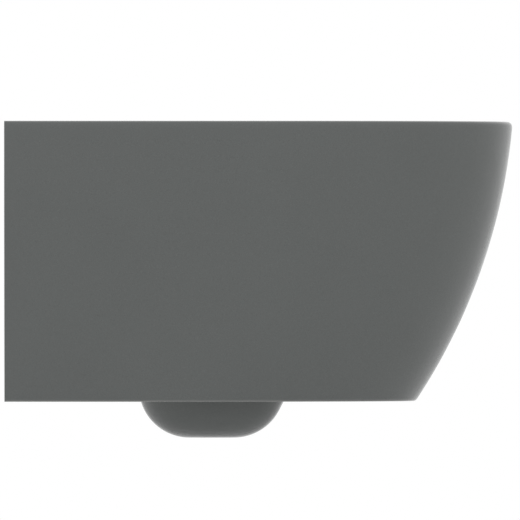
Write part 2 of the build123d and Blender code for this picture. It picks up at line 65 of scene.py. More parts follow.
# %% Patches
def grid(points, wrap_rows=False, wrap_columns=False):
    """Quads between neighbours, for an array of points by row, column and x y z."""
    rows, columns = points.shape[:2]
    row, column = np.meshgrid(
        np.arange(rows if wrap_rows else rows - 1),
        np.arange(columns if wrap_columns else columns - 1),
        indexing="ij",
    )
    below, beside = (row + 1) % rows, (column + 1) % columns
    corners = [(row, column), (row, beside), (below, beside), (below, column)]
    quads = np.stack([r * columns + c for r, c in corners], axis=-1)
    return points.reshape(-1, 3), quads.reshape(-1, 4)


def cap(ring):
    """One flat face inside a ring of points."""
    return ring, np.arange(len(ring))[None]


def pole(ring):
    """Triangles from each side of a ring to the middle of its points, which closes a pole."""
    start = np.arange(len(ring))
    triangles = np.stack([start, (start + 1) % len(ring), np.full(len(ring), len(ring))], axis=-1)
    return np.vstack([ring, ring.mean(axis=0)]), triangles


def plugged(rings):
    """A closed solid from rings: the side and a flat face at each end."""
    return [grid(rings, wrap_columns=True), cap(rings[0]), cap(rings[-1])]


cube = plugged(np.array([[(0, 0, z), (1, 0, z), (1, 1, z), (0, 1, z)] for z in (0, 1)], float))
print("faces of a test cube:", sum(len(faces) for _, faces in cube))

# %% [markdown]
# The patches go into one mesh. Points that lie on each other are merged, and the normals are
# worked out again, so that every face points outwards and the piece is closed.
#
# A patch can also say how much glaze it carries. That number is kept at the corners of the
# faces, not at the points, so that a glazed side and a ground edge can meet at one sharp line.


# %% Merge patches into a mesh
METRES = 0.001
MERGE_DISTANCE = 4e-6


def merged(name, patches, glaze=None):
    """One closed mesh from patches in millimetres, with each patch's own glaze at its corners."""
    sizes = [len(points) for points, _ in patches]
    starts = np.cumsum([0] + sizes)
    numbered = [(faces + start).tolist() for start, (_, faces) in zip(starts, patches)]
    faces = [face for patch in numbered for face in patch]
    mesh = bpy.data.meshes.new(name)
    mesh.from_pydata((np.concatenate([p for p, _ in patches]) * METRES).tolist(), [], faces)
    if glaze is not None:
        cover = np.concatenate([np.ravel(np.broadcast_to(g, n)) for g, n in zip(glaze, sizes)])
        layer = mesh.attributes.new("glaze", "FLOAT", "CORNER")
        layer.data.foreach_set("value", cover[np.concatenate(faces)].astype(np.float32))
    work = bmesh.new()
    work.from_mesh(mesh)
    bmesh.ops.remove_doubles(work, verts=work.verts, dist=MERGE_DISTANCE)
    bmesh.ops.recalc_face_normals(work, faces=work.faces)
    work.to_mesh(mesh)
    work.free()
    return mesh


def joined(name, *meshes):
    """One mesh that holds several closed ones, as for parts that are welded together."""
    work = bmesh.new()
    for mesh in meshes:
        work.from_mesh(mesh)
    whole = bpy.data.meshes.new(name)
    work.to_mesh(whole)
    work.free()
    return whole


def open_edges(mesh):
    """How many edges don't have exactly two faces. A closed mesh has none."""
    edges = np.zeros(len(mesh.loops), dtype=np.int32)
    mesh.loops.foreach_get("edge_index", edges)
    return int((np.bincount(edges, minlength=len(mesh.edges)) != 2).sum())


print("open edges of the test cube:", open_edges(merged("cube", cube)))


# %% Put a piece into the scene
def piece(name, mesh, body, replaces, material, sharp=32.0, bevel=0.0):
    """Makes a mesh a named piece that rides on a body and stands for CAD nodes."""
    made = bpy.data.objects.new(name, mesh)
    bpy.context.scene.collection.objects.link(made)
    mesh.materials.clear()
    mesh.materials.append(material)
    mesh.shade_smooth()
    mesh.set_sharp_from_angle(angle=radians(sharp))
    if bevel:
        rounding = made.modifiers.new("edge", "BEVEL")
        rounding.width, rounding.segments, rounding.limit_method = bevel * METRES, 3, "ANGLE"
        rounding.angle_limit = radians(40)
    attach(made, body)
    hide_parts(*replaces)
    places = np.zeros(3 * len(mesh.vertices))
    mesh.vertices.foreach_get("co", places)
    size = np.round(np.ptp(places.reshape(-1, 3), axis=0) / METRES, 1).tolist()
    print(f"{name}: {len(mesh.polygons)} faces, {open_edges(mesh)} open edges, size {size} mm")
    return made


# %% [markdown]
# ## Step 2: paths with soft corners
#
# A drawing gives a section as corners. Fired china has every corner rounded, because glaze pulls
# back from a sharp edge, and bent steel and moulded rubber are never sharp either. So a path of
# corners goes through one function that swaps each corner for a small curve. A path may have any
# number of coordinates: the bowl's has five.


# %% Rounding and dividing
def rounded(path, radii, steps=6):
    """Swaps each inner corner for a curve that starts and ends one radius away from it.

    The curve is (1-t)^2 * start + 2t(1-t) * corner + t^2 * end, with t from 0 to 1.
    """
    path = np.array(path, float)
    t = np.linspace(0, 1, steps)[:, None]
    made = [path[:1]]
    for before, corner, after, radius in zip(path[:-2], path[1:-1], path[2:], radii):
        start = corner + (before - corner) * min(0.5, radius / np.linalg.norm(before - corner))
        end = corner + (after - corner) * min(0.5, radius / np.linalg.norm(after - corner))
        made.append((1 - t) ** 2 * start + 2 * t * (1 - t) * corner + t**2 * end)
    return np.concatenate(made + [path[-1:]])


def rounded_ring(corners, radius, steps=5):
    """The same for a closed ring of corners, begun in the middle of its last side."""
    corners = np.array(corners, float)
    middle = (corners[-1] + corners[0]) / 2
    radii = np.broadcast_to(radius, len(corners))
    return rounded(np.vstack([middle, corners, middle]), radii, steps)[:-1]


def rectangle(left, right, low, high):
    """The four corners of a rectangle, for the function above."""
    return [(left, low), (right, low), (right, high), (left, high)]


def divided(path, step):
    """Adds points so that no run is longer than the step."""
    path = np.array(path, float)
    made = [path[:1]]
    for start, end in zip(path[:-1], path[1:]):
        count = max(1, int(np.ceil(np.linalg.norm(end - start) / step)))
        made.append(start + (end - start) * np.linspace(0, 1, count + 1)[1:, None])
    return np.concatenate(made)


square = rounded_ring(rectangle(0, 10, 0, 10), 2.0)
print("a rounded square has", len(square), "points, divided", len(divided(square, 1.0)))


# %% Smooth curves and soft steps
def through(levels, steps):
    """A smooth curve through every level, whose slope at each leans on its neighbours.

    Between levels b and c it is half of
    2b + (c - a)t + (2a - 5b + 4c - d)t^2 + (3b - a - 3c + d)t^3.
    """
    levels = np.array(levels, float)
    padded = np.vstack([2 * levels[0] - levels[1], levels, 2 * levels[-1] - levels[-2]])
    t = np.linspace(0, 1, steps, endpoint=False)[:, None]
    made = []
    for a, b, c, d in zip(padded[:-3], padded[1:-2], padded[2:-1], padded[3:]):
        second, third = 2 * a - 5 * b + 4 * c - d, 3 * b - a - 3 * c + d
        made.append((2 * b + (c - a) * t + second * t**2 + third * t**3) / 2)
    return np.concatenate(made + [levels[-1:]])


def ease(value, low, high):
    """0 below low, 1 above high, and 3t^2 - 2t^3 between them."""
    t = np.clip((value - low) / (high - low), 0, 1)
    return t * t * (3 - 2 * t)


def between(first, last, rows):
    """Rings in straight steps from one ring to another."""
    t = np.linspace(0, 1, rows)[:, None, None]
    return first * (1 - t) + last * t


print("a soft step from 0 to 4:", ease(np.arange(5), 0, 4))

# %% [markdown]
# ## Step 3: finishes
#
# Each finish is a small network of nodes. It starts from the object's own coordinates, so it
# stays put when a part moves, and adds up what a real surface shows: a colour that isn't quite
# even, a roughness that changes with handling, and relief at two or three sizes. Images would
# need a photograph of each surface. A network works at any distance and has no seams.


# %% Start a finish and add nodes
def new_finish(name, colour, roughness, metallic=0.0):
    """A material with plain values on its shader, ready for a network."""
    material = bpy.data.materials.new(name)
    material.use_nodes = True
    shader = material.node_tree.nodes["Principled BSDF"]
    shader.inputs["Base Color"].default_value = (*colour, 1)
    shader.inputs["Roughness"].default_value = roughness
    shader.inputs["Metallic"].default_value = metallic
    coordinates = material.node_tree.nodes.new("ShaderNodeTexCoord").outputs["Object"]
    return material, material.node_tree, shader, coordinates


def plug(tree, value, socket):
    """Joins an output to a socket, or writes a plain value into it."""
    if isinstance(value, bpy.types.NodeSocket):
        tree.links.new(value, socket)
    else:
        socket.default_value = value


def add(tree, kind, sockets, **settings):
    """A node whose inputs are given as values or as outputs of other nodes."""
    made = tree.nodes.new("ShaderNode" + kind)
    for name, value in settings.items():
        setattr(made, name, value)
    for name, value in sockets.items():
        plug(tree, value, made.inputs[name])
    return made


def math(tree, operation, *values):
    """One sum on values or outputs, by the name that Blender gives it."""
    return add(tree, "Math", dict(enumerate(values)), operation=operation).outputs[0]


def wire(tree, shader, **outputs):
    """Joins outputs to the shader's inputs, with underscores for spaces."""
    for name, value in outputs.items():
        tree.links.new(value, shader.inputs[name.replace("_", " ")])


trial, tree, shader, where = new_finish("trial", (0.5, 0.5, 0.5), 0.5)
print("a new finish holds:", [node.name for node in tree.nodes])


# %% Noise, ranges, blends and relief
def noise(tree, vector, size_mm, detail=3.0, distortion=0.0):
    """Soft noise whose lumps are about this many millimetres across."""
    sockets = {"Vector": vector, "Scale": 1000 / size_mm, "Detail": detail}
    return add(tree, "TexNoise", {**sockets, "Distortion": distortion}).outputs["Fac"]


def remap(tree, value, low, high, to_low, to_high):
    """Stretches one range of values onto another and stops at its ends."""
    ends = {"From Min": low, "From Max": high, "To Min": to_low, "To Max": to_high}
    return add(tree, "MapRange", {"Value": value, **ends}).outputs["Result"]


def mixed(tree, factor, first, second):
    """Blends two colours, each a triple or an output."""
    made = tree.nodes.new("ShaderNodeMix")
    made.data_type = "RGBA"
    plug(tree, factor, made.inputs[0])
    for index, value in ((6, first), (7, second)):
        plug(tree, (*value, 1) if isinstance(value, tuple) else value, made.inputs[index])
    return made.outputs[2]


def blended(tree, factor, first, second):
    """The same for two numbers."""
    return add(tree, "Mix", {0: factor, 2: first, 3: second}).outputs[0]


def sums(tree, *weighted, start=0.0):
    """Adds outputs to a start value, each with its own weight."""
    total = start
    for value, weight in weighted:
        total = math(tree, "MULTIPLY_ADD", value, weight, total)
    return total


def relief(tree, shader, height, depth_mm):
    """Bump whose full height is this many millimetres."""
    made = add(tree, "Bump", {"Height": height, "Distance": depth_mm * METRES, "Strength": 1.0})
    tree.links.new(made.outputs["Normal"], shader.inputs["Normal"])


relief(tree, shader, remap(tree, noise(tree, where, 10), 0.3, 0.7, 0.0, 1.0), 0.1)
print("with relief from noise it holds:", [node.name for node in tree.nodes])
bpy.data.materials.remove(trial)

# %% [markdown]
# ### Glaze and raw china
#
# Sanitary glaze is a glass about half a millimetre thick. It levels out like thick paint, which
# leaves broad waves of a few hundredths of a millimetre, and fine pinholes where gas escaped.
# A satin glaze also grows crystals as it cools, which the eye sees as a fine light and dark
# speckle. Over an edge it runs thinner, and the pale body shows through; along the foot's edge
# that lighter colour is also a painted highlight.
#
# Where it wasn't sprayed, the fired body is off-white, dry and rough, with dark iron specks and
# a dusting of overspray.

# %% Colours of glaze and china
GLAZE = (0.1002, 0.1064, 0.1042)
GLAZE_DARK = (0.0962, 0.1021, 0.1000)
GLAZE_LIGHT = (0.1050, 0.1114, 0.1092)
# Lighter colour for the foot's edge: glaze running thinner there, and also a painted highlight.
THIN_GLAZE_AND_HIGHLIGHT = (0.165, 0.169, 0.163)
CRYSTAL_LIGHT, CRYSTAL_DARK = (0.1322, 0.1382, 0.1342), (0.0702, 0.0752, 0.0732)
GLAZE_IOR = 1.38
CHINA = (0.62, 0.59, 0.54)
CHINA_LIGHT, CHINA_DARK = (0.66, 0.63, 0.58), (0.56, 0.53, 0.48)
IRON, OVERSPRAY = (0.33, 0.27, 0.20), (0.30, 0.31, 0.30)
CHINA_RELIEF = 0.4
print("glaze and body, as linear colours:", GLAZE, CHINA)


# %% Glaze
GLAZE_ROUGH = 0.13


def glaze_look(tree, where):
    """Colour, roughness and height of satin glaze."""
    clouds = noise(tree, where, 90, 4)
    mottle = noise(tree, where, 2.2, 4)
    crystals = noise(tree, where, 0.7, 3)
    pits = add(tree, "TexVoronoi", {"Vector": where, "Scale": 260.0}).outputs["Distance"]
    pinholes = remap(tree, pits, 0.05, 0.12, 0.0, 1.0)
    shade = mixed(tree, clouds, GLAZE_DARK, GLAZE_LIGHT)
    shade = mixed(tree, remap(tree, mottle, 0.35, 0.65, 0.0, 0.25), shade, GLAZE_DARK)
    shade = mixed(tree, remap(tree, crystals, 0.56, 0.66, 0.0, 0.55), shade, CRYSTAL_LIGHT)
    shade = mixed(tree, remap(tree, crystals, 0.44, 0.34, 0.0, 0.55), shade, CRYSTAL_DARK)
    smudges = remap(tree, noise(tree, where, 45, 5, 0.6), 0.45, 0.75, 0.0, 1.0)
    rough = sums(tree, (smudges, 0.05), (mottle, 0.06), (clouds, 0.02), start=GLAZE_ROUGH)
    waves, peel = noise(tree, where, 26, 2), noise(tree, where, 4.5, 2)
    fine = ((mottle, 0.02), (crystals, 0.006), (pinholes, 0.02))
    return shade, rough, sums(tree, (waves, 0.6), (peel, 0.09), *fine)


print("the roughness of clean glaze starts at", GLAZE_ROUGH)


# %% Raw china
def body_look(tree, where):
    """Colour, grain and height of the bare fired body."""
    tone, grain = noise(tree, where, 30, 4), noise(tree, where, 0.8, 5)
    specks = add(tree, "TexVoronoi", {"Vector": where, "Scale": 420.0}).outputs["Distance"]
    spray = remap(tree, noise(tree, where, 1.6, 5), 0.60, 0.72, 0.0, 0.55)
    colour = mixed(tree, tone, CHINA_LIGHT, CHINA_DARK)
    colour = mixed(tree, remap(tree, specks, 0.04, 0.10, 0.7, 0.0), colour, IRON)
    colour = mixed(tree, spray, colour, OVERSPRAY)
    return colour, grain, sums(tree, (grain, 0.10), (tone, 0.25))


print("iron specks and overspray, as linear colours:", IRON, OVERSPRAY)


# %% Both on one piece
RAGGED, GLAZE_STEP, BARE_ROUGH = 0.5, 0.35, 0.8


def china_finish(name, uses_cover):
    """Satin glaze where the attribute says so, and bare fired china elsewhere.

    The attribute is 0 on the bare body, 1 under full glaze, and up to 2 along the foot's edge,
    where the lighter colour stands for glaze running thinner and is also a painted highlight. Noise
    is added to it before it is cut off at 0.7, which frays the border.
    """
    material, tree, shader, where = new_finish(name, GLAZE if uses_cover else CHINA, 0.38)
    shader.inputs["IOR"].default_value = GLAZE_IOR
    body, grain, body_height = body_look(tree, where)
    if not uses_cover:
        wire(tree, shader, Base_Color=body, Roughness=remap(tree, grain, 0.3, 0.7, 0.72, 0.9))
        relief(tree, shader, body_height, CHINA_RELIEF)
        return material
    shade, rough, height = glaze_look(tree, where)
    cover = add(tree, "Attribute", {}, attribute_name="glaze").outputs["Fac"]
    ragged = sums(tree, (cover, 1.0), (noise(tree, where, 9, 5, 0.8), RAGGED))
    covered = remap(tree, ragged, 0.66, 0.74, 0.0, 1.0)
    # Painted highlight along the foot's edge, partly real: glaze running thinner there is lighter.
    shade = mixed(tree, remap(tree, cover, 1.05, 1.95, 0.0, 1.0), shade, THIN_GLAZE_AND_HIGHLIGHT)
    height = sums(tree, (covered, GLAZE_STEP), start=blended(tree, covered, body_height, height))
    wire(tree, shader, Base_Color=mixed(tree, covered, body, shade))
    wire(tree, shader, Roughness=blended(tree, covered, BARE_ROUGH, rough))
    relief(tree, shader, height, CHINA_RELIEF)
    return material


glazed = china_finish("satin_glaze", True)
bisque = china_finish("bare_china", False)
print("china finishes:", glazed.name, len(glazed.node_tree.nodes), "nodes,", bisque.name)

# %% [markdown]
# ### Zinc plate
#
# The hidden fixings are workshop parts. Zinc plate forms crystals, so its colour changes from
# cell to cell, the rolled sheet under it shows fine drawn lines, and a thin white bloom dulls
# it. The cells are a Voronoi pattern, whose colour output gives each cell its own tone.


# %% Zinc
def zinc_finish(name, cell_mm, rough):
    """Plated steel with crystal cells, drawn scratches and a white bloom."""
    material, tree, shader, where = new_finish(name, (0.55, 0.56, 0.57), rough, 0.9)
    cells = add(tree, "TexVoronoi", {"Vector": where, "Scale": 1000 / cell_mm})
    tone = add(tree, "SeparateColor", {"Color": cells.outputs["Color"]}).outputs[0]
    stretch = add(tree, "Mapping", {"Vector": where, "Scale": (1.0, 0.06, 1.0)}).outputs[0]
    lines = noise(tree, stretch, 0.7, 4)
    bloom = remap(tree, noise(tree, where, 14, 6, 1.0), 0.50, 0.68, 0.0, 1.0)
    colour = mixed(tree, tone, (0.50, 0.51, 0.52), (0.60, 0.61, 0.61))
    colour = mixed(tree, bloom, colour, (0.52, 0.52, 0.51))
    roughness = sums(tree, (tone, 0.10), (bloom, 0.22), (lines, 0.14), start=rough - 0.12)
    metal = remap(tree, bloom, 0.0, 1.0, 0.95, 0.55)
    wire(tree, shader, Base_Color=colour, Roughness=roughness, Metallic=metal)
    relief(tree, shader, sums(tree, (lines, 0.03), (tone, 0.02), (bloom, 0.02)), 0.5)
    return material


zinc_sheet = zinc_finish("zinc_sheet", 4.5, 0.42)
zinc_small = zinc_finish("zinc_fastener", 1.6, 0.36)
print("zinc finishes:", zinc_sheet.name, zinc_small.name)

# %% [markdown]
# ### Turned steel
#
# A lathe leaves rings round the axis of the part. The network measures each point's distance
# from the nearer of the two pivots, sqrt(side^2 + front^2), and a sine of that distance draws
# the rings as relief. A film of oil and a few rust spots lie over them.

# %% Turned steel
STUD_X, PIVOT_DEPTH = 90.0, 87.3
RADIANS_PER_METRE = 9000.0


def turned_finish(name, colour, dark, rough):
    """Steel with lathe rings round the two upright pivots, oil and rust spots."""
    material, tree, shader, where = new_finish(name, colour, rough, 1.0)
    axes = add(tree, "SeparateXYZ", {"Vector": where})
    side = math(tree, "SUBTRACT", math(tree, "ABSOLUTE", axes.outputs[0]), STUD_X * METRES)
    front = math(tree, "ADD", axes.outputs[1], PIVOT_DEPTH * METRES)
    flat = add(tree, "CombineXYZ", {0: side, 1: front, 2: 0.0}).outputs[0]
    reach = add(tree, "VectorMath", {0: flat}, operation="LENGTH").outputs["Value"]
    rings = math(tree, "SINE", math(tree, "MULTIPLY", reach, RADIANS_PER_METRE))
    oil = remap(tree, noise(tree, where, 5, 5, 0.4), 0.42, 0.66, 0.0, 1.0)
    rust = remap(tree, noise(tree, where, 2, 6), 0.66, 0.74, 0.0, 0.5)
    tint = mixed(tree, rust, mixed(tree, oil, colour, dark), (0.16, 0.085, 0.045))
    roughness = sums(tree, (oil, -0.08), (rust, 0.4), (rings, 0.03), start=rough)
    wire(tree, shader, Base_Color=tint, Roughness=roughness)
    relief(tree, shader, sums(tree, (rings, 0.012), (noise(tree, where, 0.6, 3), 0.02)), 1.0)
    return material


cam_steel = turned_finish("turned_steel", (0.40, 0.40, 0.41), (0.31, 0.30, 0.29), 0.32)
spring_steel = turned_finish("blackened_spring", (0.14, 0.14, 0.15), (0.09, 0.09, 0.095), 0.44)
print("steel finishes:", cam_steel.name, spring_steel.name)

# %% [markdown]
# ### Rubber, nylon and plastic
#
# Moulded parts are smooth, with the fine grain of the mould, flow marks where the melt ran, and
# dust that settles in patches and takes the shine away. Nylon also lets light in a little, which
# is a value on the shader itself.


# %% Moulded parts
def moulded_finish(name, colour, dusty, rough, grain_mm, depth_mm):
    """Rubber or plastic with a fine grain, soft flow marks and dust."""
    material, tree, shader, where = new_finish(name, colour, rough)
    flow, grain = noise(tree, where, 18, 3, 2.0), noise(tree, where, grain_mm, 4)
    dust = remap(tree, noise(tree, where, 11, 6, 0.5), 0.52, 0.74, 0.0, 0.75)
    darker = tuple(0.86 * c for c in colour)
    tint = mixed(tree, dust, mixed(tree, flow, colour, darker), dusty)
    roughness = sums(tree, (dust, 0.22), (grain, 0.12), (flow, 0.05), start=rough - 0.08)
    wire(tree, shader, Base_Color=tint, Roughness=roughness)
    relief(tree, shader, sums(tree, (grain, 0.6), (flow, 0.4)), depth_mm)
    return material


nylon = moulded_finish("cast_nylon", (0.80, 0.79, 0.74), (0.62, 0.60, 0.55), 0.48, 0.9, 0.05)
nylon_shader = nylon.node_tree.nodes["Principled BSDF"]
nylon_shader.inputs["Subsurface Weight"].default_value = 0.15
nylon_shader.inputs["Subsurface Scale"].default_value = 0.002
BLACK, BLACK_DUST = (0.020, 0.020, 0.022), (0.10, 0.10, 0.10)
FOAM, FOAM_DUST = (0.05, 0.05, 0.055), (0.13, 0.13, 0.13)
INSERT, INSERT_DUST = (0.10, 0.105, 0.103), (0.125, 0.13, 0.125)
black_rubber = moulded_finish("collar_rubber", BLACK, BLACK_DUST, 0.52, 0.5, 0.05)
soft_rubber = moulded_finish("foam_rubber", FOAM, FOAM_DUST, 0.78, 0.35, 0.15)
grey_plastic = moulded_finish("moulded_insert", INSERT, INSERT_DUST, 0.32, 0.6, 0.03)
print("moulded finishes:", nylon.name, black_rubber.name, soft_rubber.name, grey_plastic.name)

# %% [markdown]
# ## Step 4: the outer form
#
# The pan has a straight back and straight sides that run into a half ellipse at the nose. Seen
# from the side, its front leans in along one large circle whose centre lies above the rim and
# behind the wall. The sides do the same along a still larger circle. Both are one formula: the
# reach at a drop below the rim is the reach at the rim, less what the circle has fallen away.

# %% Plan shapes
RIM_RISE, LENGTH, WIDTH, NOSE = 80.0, 540.0, 355.0, 240.0
FRONT_ARC, SIDE_ARC, ARC_RISE = 631.0, 1900.0, 52.0
SKIRT_HEIGHT, DECK, WALL = 297.5, 12.0, 10.5
SIDE_COLUMNS, NOSE_COLUMNS, BACK_COLUMNS = 24, 120, 60


def fallen(arc, drop):
    """How far a circle, centred ARC_RISE above the rim, has fallen away at a drop.

    It is sqrt(arc^2 - rise^2) - sqrt(arc^2 - (drop + rise)^2).
    """
    return np.sqrt(arc**2 - ARC_RISE**2) - np.sqrt(arc**2 - (drop + ARC_RISE) ** 2)


def outline(drop, inset):
    """The skirt's plan, from the wall on the left round the nose to the wall on the right.

    The nose is half an ellipse: x = half * cos(angle), y = start + nose * sin(angle), with the
    angle from 180 to 360 degrees.
    """
    drop, inset = drop[:, None], inset[:, None]
    half = WIDTH / 2 - fallen(SIDE_ARC, drop) - inset
    nose = NOSE - inset
    start = -(LENGTH - fallen(FRONT_ARC, drop) - inset - nose)
    along = np.arange(SIDE_COLUMNS) / SIDE_COLUMNS
    angle = np.linspace(pi, 2 * pi, NOSE_COLUMNS + 1)
    sides = half * np.ones(SIDE_COLUMNS)
    x = np.concatenate([-sides, half * np.cos(angle), sides], axis=-1)
    y = np.concatenate([start * along, start + nose * np.sin(angle), start * along[::-1]], axis=-1)
    return np.stack([x, y, RIM_RISE - drop * np.ones_like(x)], axis=-1)


rim_and_foot = outline(np.array([0.0, SKIRT_HEIGHT]), np.zeros(2))
print("front at the rim and at the foot:", np.round(rim_and_foot[..., 1].min(axis=1), 1))

# %% [markdown]
# ## Step 5: skirt and rim as one carried profile
#
# The section of the skirt is carried round the outline, as a plasterer runs a moulding: deck
# edge, rim, outer wall, foot, the flange turned in at the foot, and back up inside to the deck.
# A Solidify modifier could give the wall its thickness, but it can't turn the flange in or make
# the deck thicker, so the whole section is one path with its own corner radii.
#
# Each row also says how much glaze it carries. Glaze is sprayed on what shows. It runs thinner
# along the foot's edge, where a lighter colour also paints a highlight, and ends on the flange in a
# ragged line, with bare china behind it.

# %% Skirt section
FOOT_FLANGE, FOOT_THICK = 28.0, 10.0
RIM_ROUND, FOOT_ROUND, INNER_ROUND, EDGE_LAND = 7.5, 2.8, 7.0, 16.0
section = rounded(
    [
        (EDGE_LAND, 0),
        (0, 0),
        (0, SKIRT_HEIGHT),
        (FOOT_FLANGE, SKIRT_HEIGHT),
        (FOOT_FLANGE, SKIRT_HEIGHT - FOOT_THICK),
        (WALL, SKIRT_HEIGHT - FOOT_THICK),
        (WALL, DECK),
        (EDGE_LAND + 4, DECK),
    ],
    [RIM_ROUND, FOOT_ROUND, FOOT_ROUND, FOOT_ROUND, INNER_ROUND, INNER_ROUND],
    steps=9,
)
section = divided(section, 9.0)
skirt = outline(section[:, 1], section[:, 0])
print("skirt rows and columns:", skirt.shape[:2])

# %% Glaze along the section
THIN_GLAZE_HIGHLIGHT_WIDTH, GLAZE_OVERLAP = 1.3, 45.0
walked = np.concatenate([[0], np.cumsum(np.linalg.norm(np.diff(section, axis=0), axis=1))])
foot_edge = walked[(section[:, 1] - section[:, 0]).argmax()]
# A lighter band along the foot's edge: glaze running thinner, and a painted highlight.
thin_glaze_and_highlight = np.exp(-(((walked - foot_edge) / THIN_GLAZE_HIGHLIGHT_WIDTH) ** 2))
flange_end = walked[section[:, 1].argmax()] + FOOT_FLANGE
skirt_glaze_and_highlight = 1 + thin_glaze_and_highlight - ease(walked, flange_end, flange_end + GLAZE_OVERLAP)
skirt_glaze_and_highlight = np.repeat(skirt_glaze_and_highlight, skirt.shape[1])
print("the glaze thins", round(float(foot_edge), 1), "mm along the section")

# %% [markdown]
# ## Step 6: deck, flush channel and basin as egg rings
#
# From the deck inwards every level is an egg: a front and a rear half ellipse that meet at the
# widest line. A level is five numbers, which are half width, depth of the rear wall, depth of
# the front wall, depth of the widest line, and drop. So the bowl is a path through levels, and
# the functions of step 2 shape it as they shape any path.
#
# A column keeps its direction from the bowl's middle all the way from the deck's edge down to
# the dip, so the quads stay square where the shape turns most.

# %% Levels of the bowl
MOUTH = np.array([137.0, 150.0, 499.0, 300.0])
OUTWARD = np.array([1.0, -1.0, 1.0, 0.0])
CHANNEL_HOLLOW, LEDGE_STEP = 8.5, 8.0
CHANNEL = MOUTH + CHANNEL_HOLLOW * OUTWARD
LEDGE = MOUTH - LEDGE_STEP * OUTWARD
CHANNEL_DROP, LEDGE_DROP, DIP_DROP = 40.0, 55.0, 262.0
BASIN_SHARE = np.array([0.17, 0.36, 0.56, 0.73, 0.88, 1.00])
BASIN = np.array(
    [
        (118.0, 163.0, 471.0, 298.0),
        (102.0, 171.0, 440.0, 292.0),
        (83.0, 181.0, 398.0, 284.0),
        (65.0, 193.0, 352.0, 272.0),
        (55.0, 204.0, 322.0, 263.0),
        (50.0, 214.0, 303.0, 258.0),
    ]
)
BOWL_WALL, REAR_EXTRA, FRONT_EXTRA = 10.0, 4.0, 3.0
basin_drops = LEDGE_DROP + BASIN_SHARE * (DIP_DROP - LEDGE_DROP)
print("drops of the basin's levels:", np.round(basin_drops, 1))


# %% Eggs along columns
def level(egg, drop, grow=0.0):
    """The five numbers of one level, grown outwards by a wall."""
    return np.append(egg + grow * OUTWARD, drop)


def egg_rings(levels, directions):
    """Rings of points, each on its level's egg and in the column's direction from its middle.

    Along a direction with cosine c and sine s, an ellipse with half axes a and b is met at the
    distance 1 / sqrt((c / a)^2 + (s / b)^2), where b is the front or the rear half axis.
    """
    half, rear, front, widest, drop = (numbers[:, None] for numbers in levels.T)
    cosine, sine = np.cos(directions)[None], np.sin(directions)[None]
    reach = np.where(sine < 0, front - widest, widest - rear)
    distance = 1 / np.sqrt((cosine / half) ** 2 + (sine / reach) ** 2)
    x, y = distance * cosine, distance * sine - widest
    return np.stack([x, y, RIM_RISE - drop * np.ones_like(x)], axis=-1)


deck_edge, under_edge = skirt[0], skirt[-1]
share = np.arange(1, BACK_COLUMNS)[:, None] / BACK_COLUMNS
back_top = deck_edge[-1] + (deck_edge[0] - deck_edge[-1]) * share
back_under = under_edge[-1] + (under_edge[0] - under_edge[-1]) * share
deck_ring = np.concatenate([deck_edge, back_top])
under_ring = np.concatenate([under_edge, back_under])
directions = np.arctan2(deck_ring[:, 1] + MOUTH[3], deck_ring[:, 0])
print("columns round the bowl:", len(directions))

# %% The path from the mouth to the dip and back up outside
walls = BOWL_WALL * OUTWARD + BASIN_SHARE[:, None] * np.array([0, -REAR_EXTRA, FRONT_EXTRA, 0])
inner, outer = np.column_stack([BASIN, basin_drops]), np.column_stack([BASIN + walls, basin_drops])
inside = through(np.vstack([level(LEDGE, LEDGE_DROP), inner]), 7)
outside = through(np.vstack([level(LEDGE, LEDGE_DROP, BOWL_WALL), outer]), 7)
lip_path = rounded(
    [
        level(MOUTH, 0, 8.0),
        level(MOUTH, 0),
        level(MOUTH, DECK),
        level(CHANNEL, DECK),
        level(CHANNEL, CHANNEL_DROP),
        inside[0],
        inside[3],
    ],
    [5.0, 4.0, 3.5, 8.0, 8.0],
    steps=8,
)
down = np.concatenate([divided(lip_path[:-1], 4.0), inside[4:-1]])
dip_edge = rounded([inside[-2], inside[-1], outside[-1], outside[-2]], [5.0, 5.0], steps=7)[1:-1]
channel_back = [level(CHANNEL, drop, BOWL_WALL) for drop in (CHANNEL_DROP, DECK)]
outer_top = rounded([outside[3], outside[0], *channel_back], [7.0, 8.0])
up = np.concatenate([outside[-2:3:-1], divided(outer_top, 4.0)])
bowl = egg_rings(np.concatenate([down, dip_edge, up]), directions)
turned_over = len(down) + len(dip_edge) // 2
print("bowl rows and columns:", bowl.shape[:2])

# %% [markdown]
# ## Step 7: the niche for the flow distributor
#
# At the back of the flush channel the casting has a shallow niche for a plastic insert that
# sends the water left and right. It could be cut with a boolean, but slip-cast china has soft
# edges there. So the wall's points are pushed back instead, by a weight that eases from 0
# outside the niche to 1 inside it.

# %% Press the niche into the wall
NICHE_DROP, NICHE_HALF, NICHE_TOP, NICHE_WALL, NICHE_BEHIND = 62.0, 38.0, 66.0, 9.0, 60.0


def pressed(points, half, floor, depth):
    """Pushes the rear wall back to a depth, within a half width and above a floor.

    The weight is the product of a soft step across the width, one above the floor and one below
    the deck.
    """
    x, y, z = np.moveaxis(points, -1, 0)
    weight = ease(half - np.abs(x), -3, 3) * ease(z, floor - 2, floor + 3)
    weight = weight * ease(NICHE_TOP - z, 0, 4) * (y > NICHE_BEHIND - MOUTH[3])
    return np.stack([x, y + weight * np.maximum(0, -y - depth), z], axis=-1)


niche_floor = RIM_RISE - NICHE_DROP
inner_rows, outer_rows = bowl[:turned_over], bowl[turned_over:]
inner_rows[:] = pressed(inner_rows, NICHE_HALF, niche_floor, CHANNEL[1])
niche_outside = (NICHE_HALF + NICHE_WALL, niche_floor - NICHE_WALL, CHANNEL[1] - BOWL_WALL)
outer_rows[:] = pressed(outer_rows, *niche_outside)
bowl_glaze = np.repeat(1.0 * (np.arange(len(bowl)) < turned_over + 6), bowl.shape[1])
print("the niche reaches depth", CHANNEL[1])

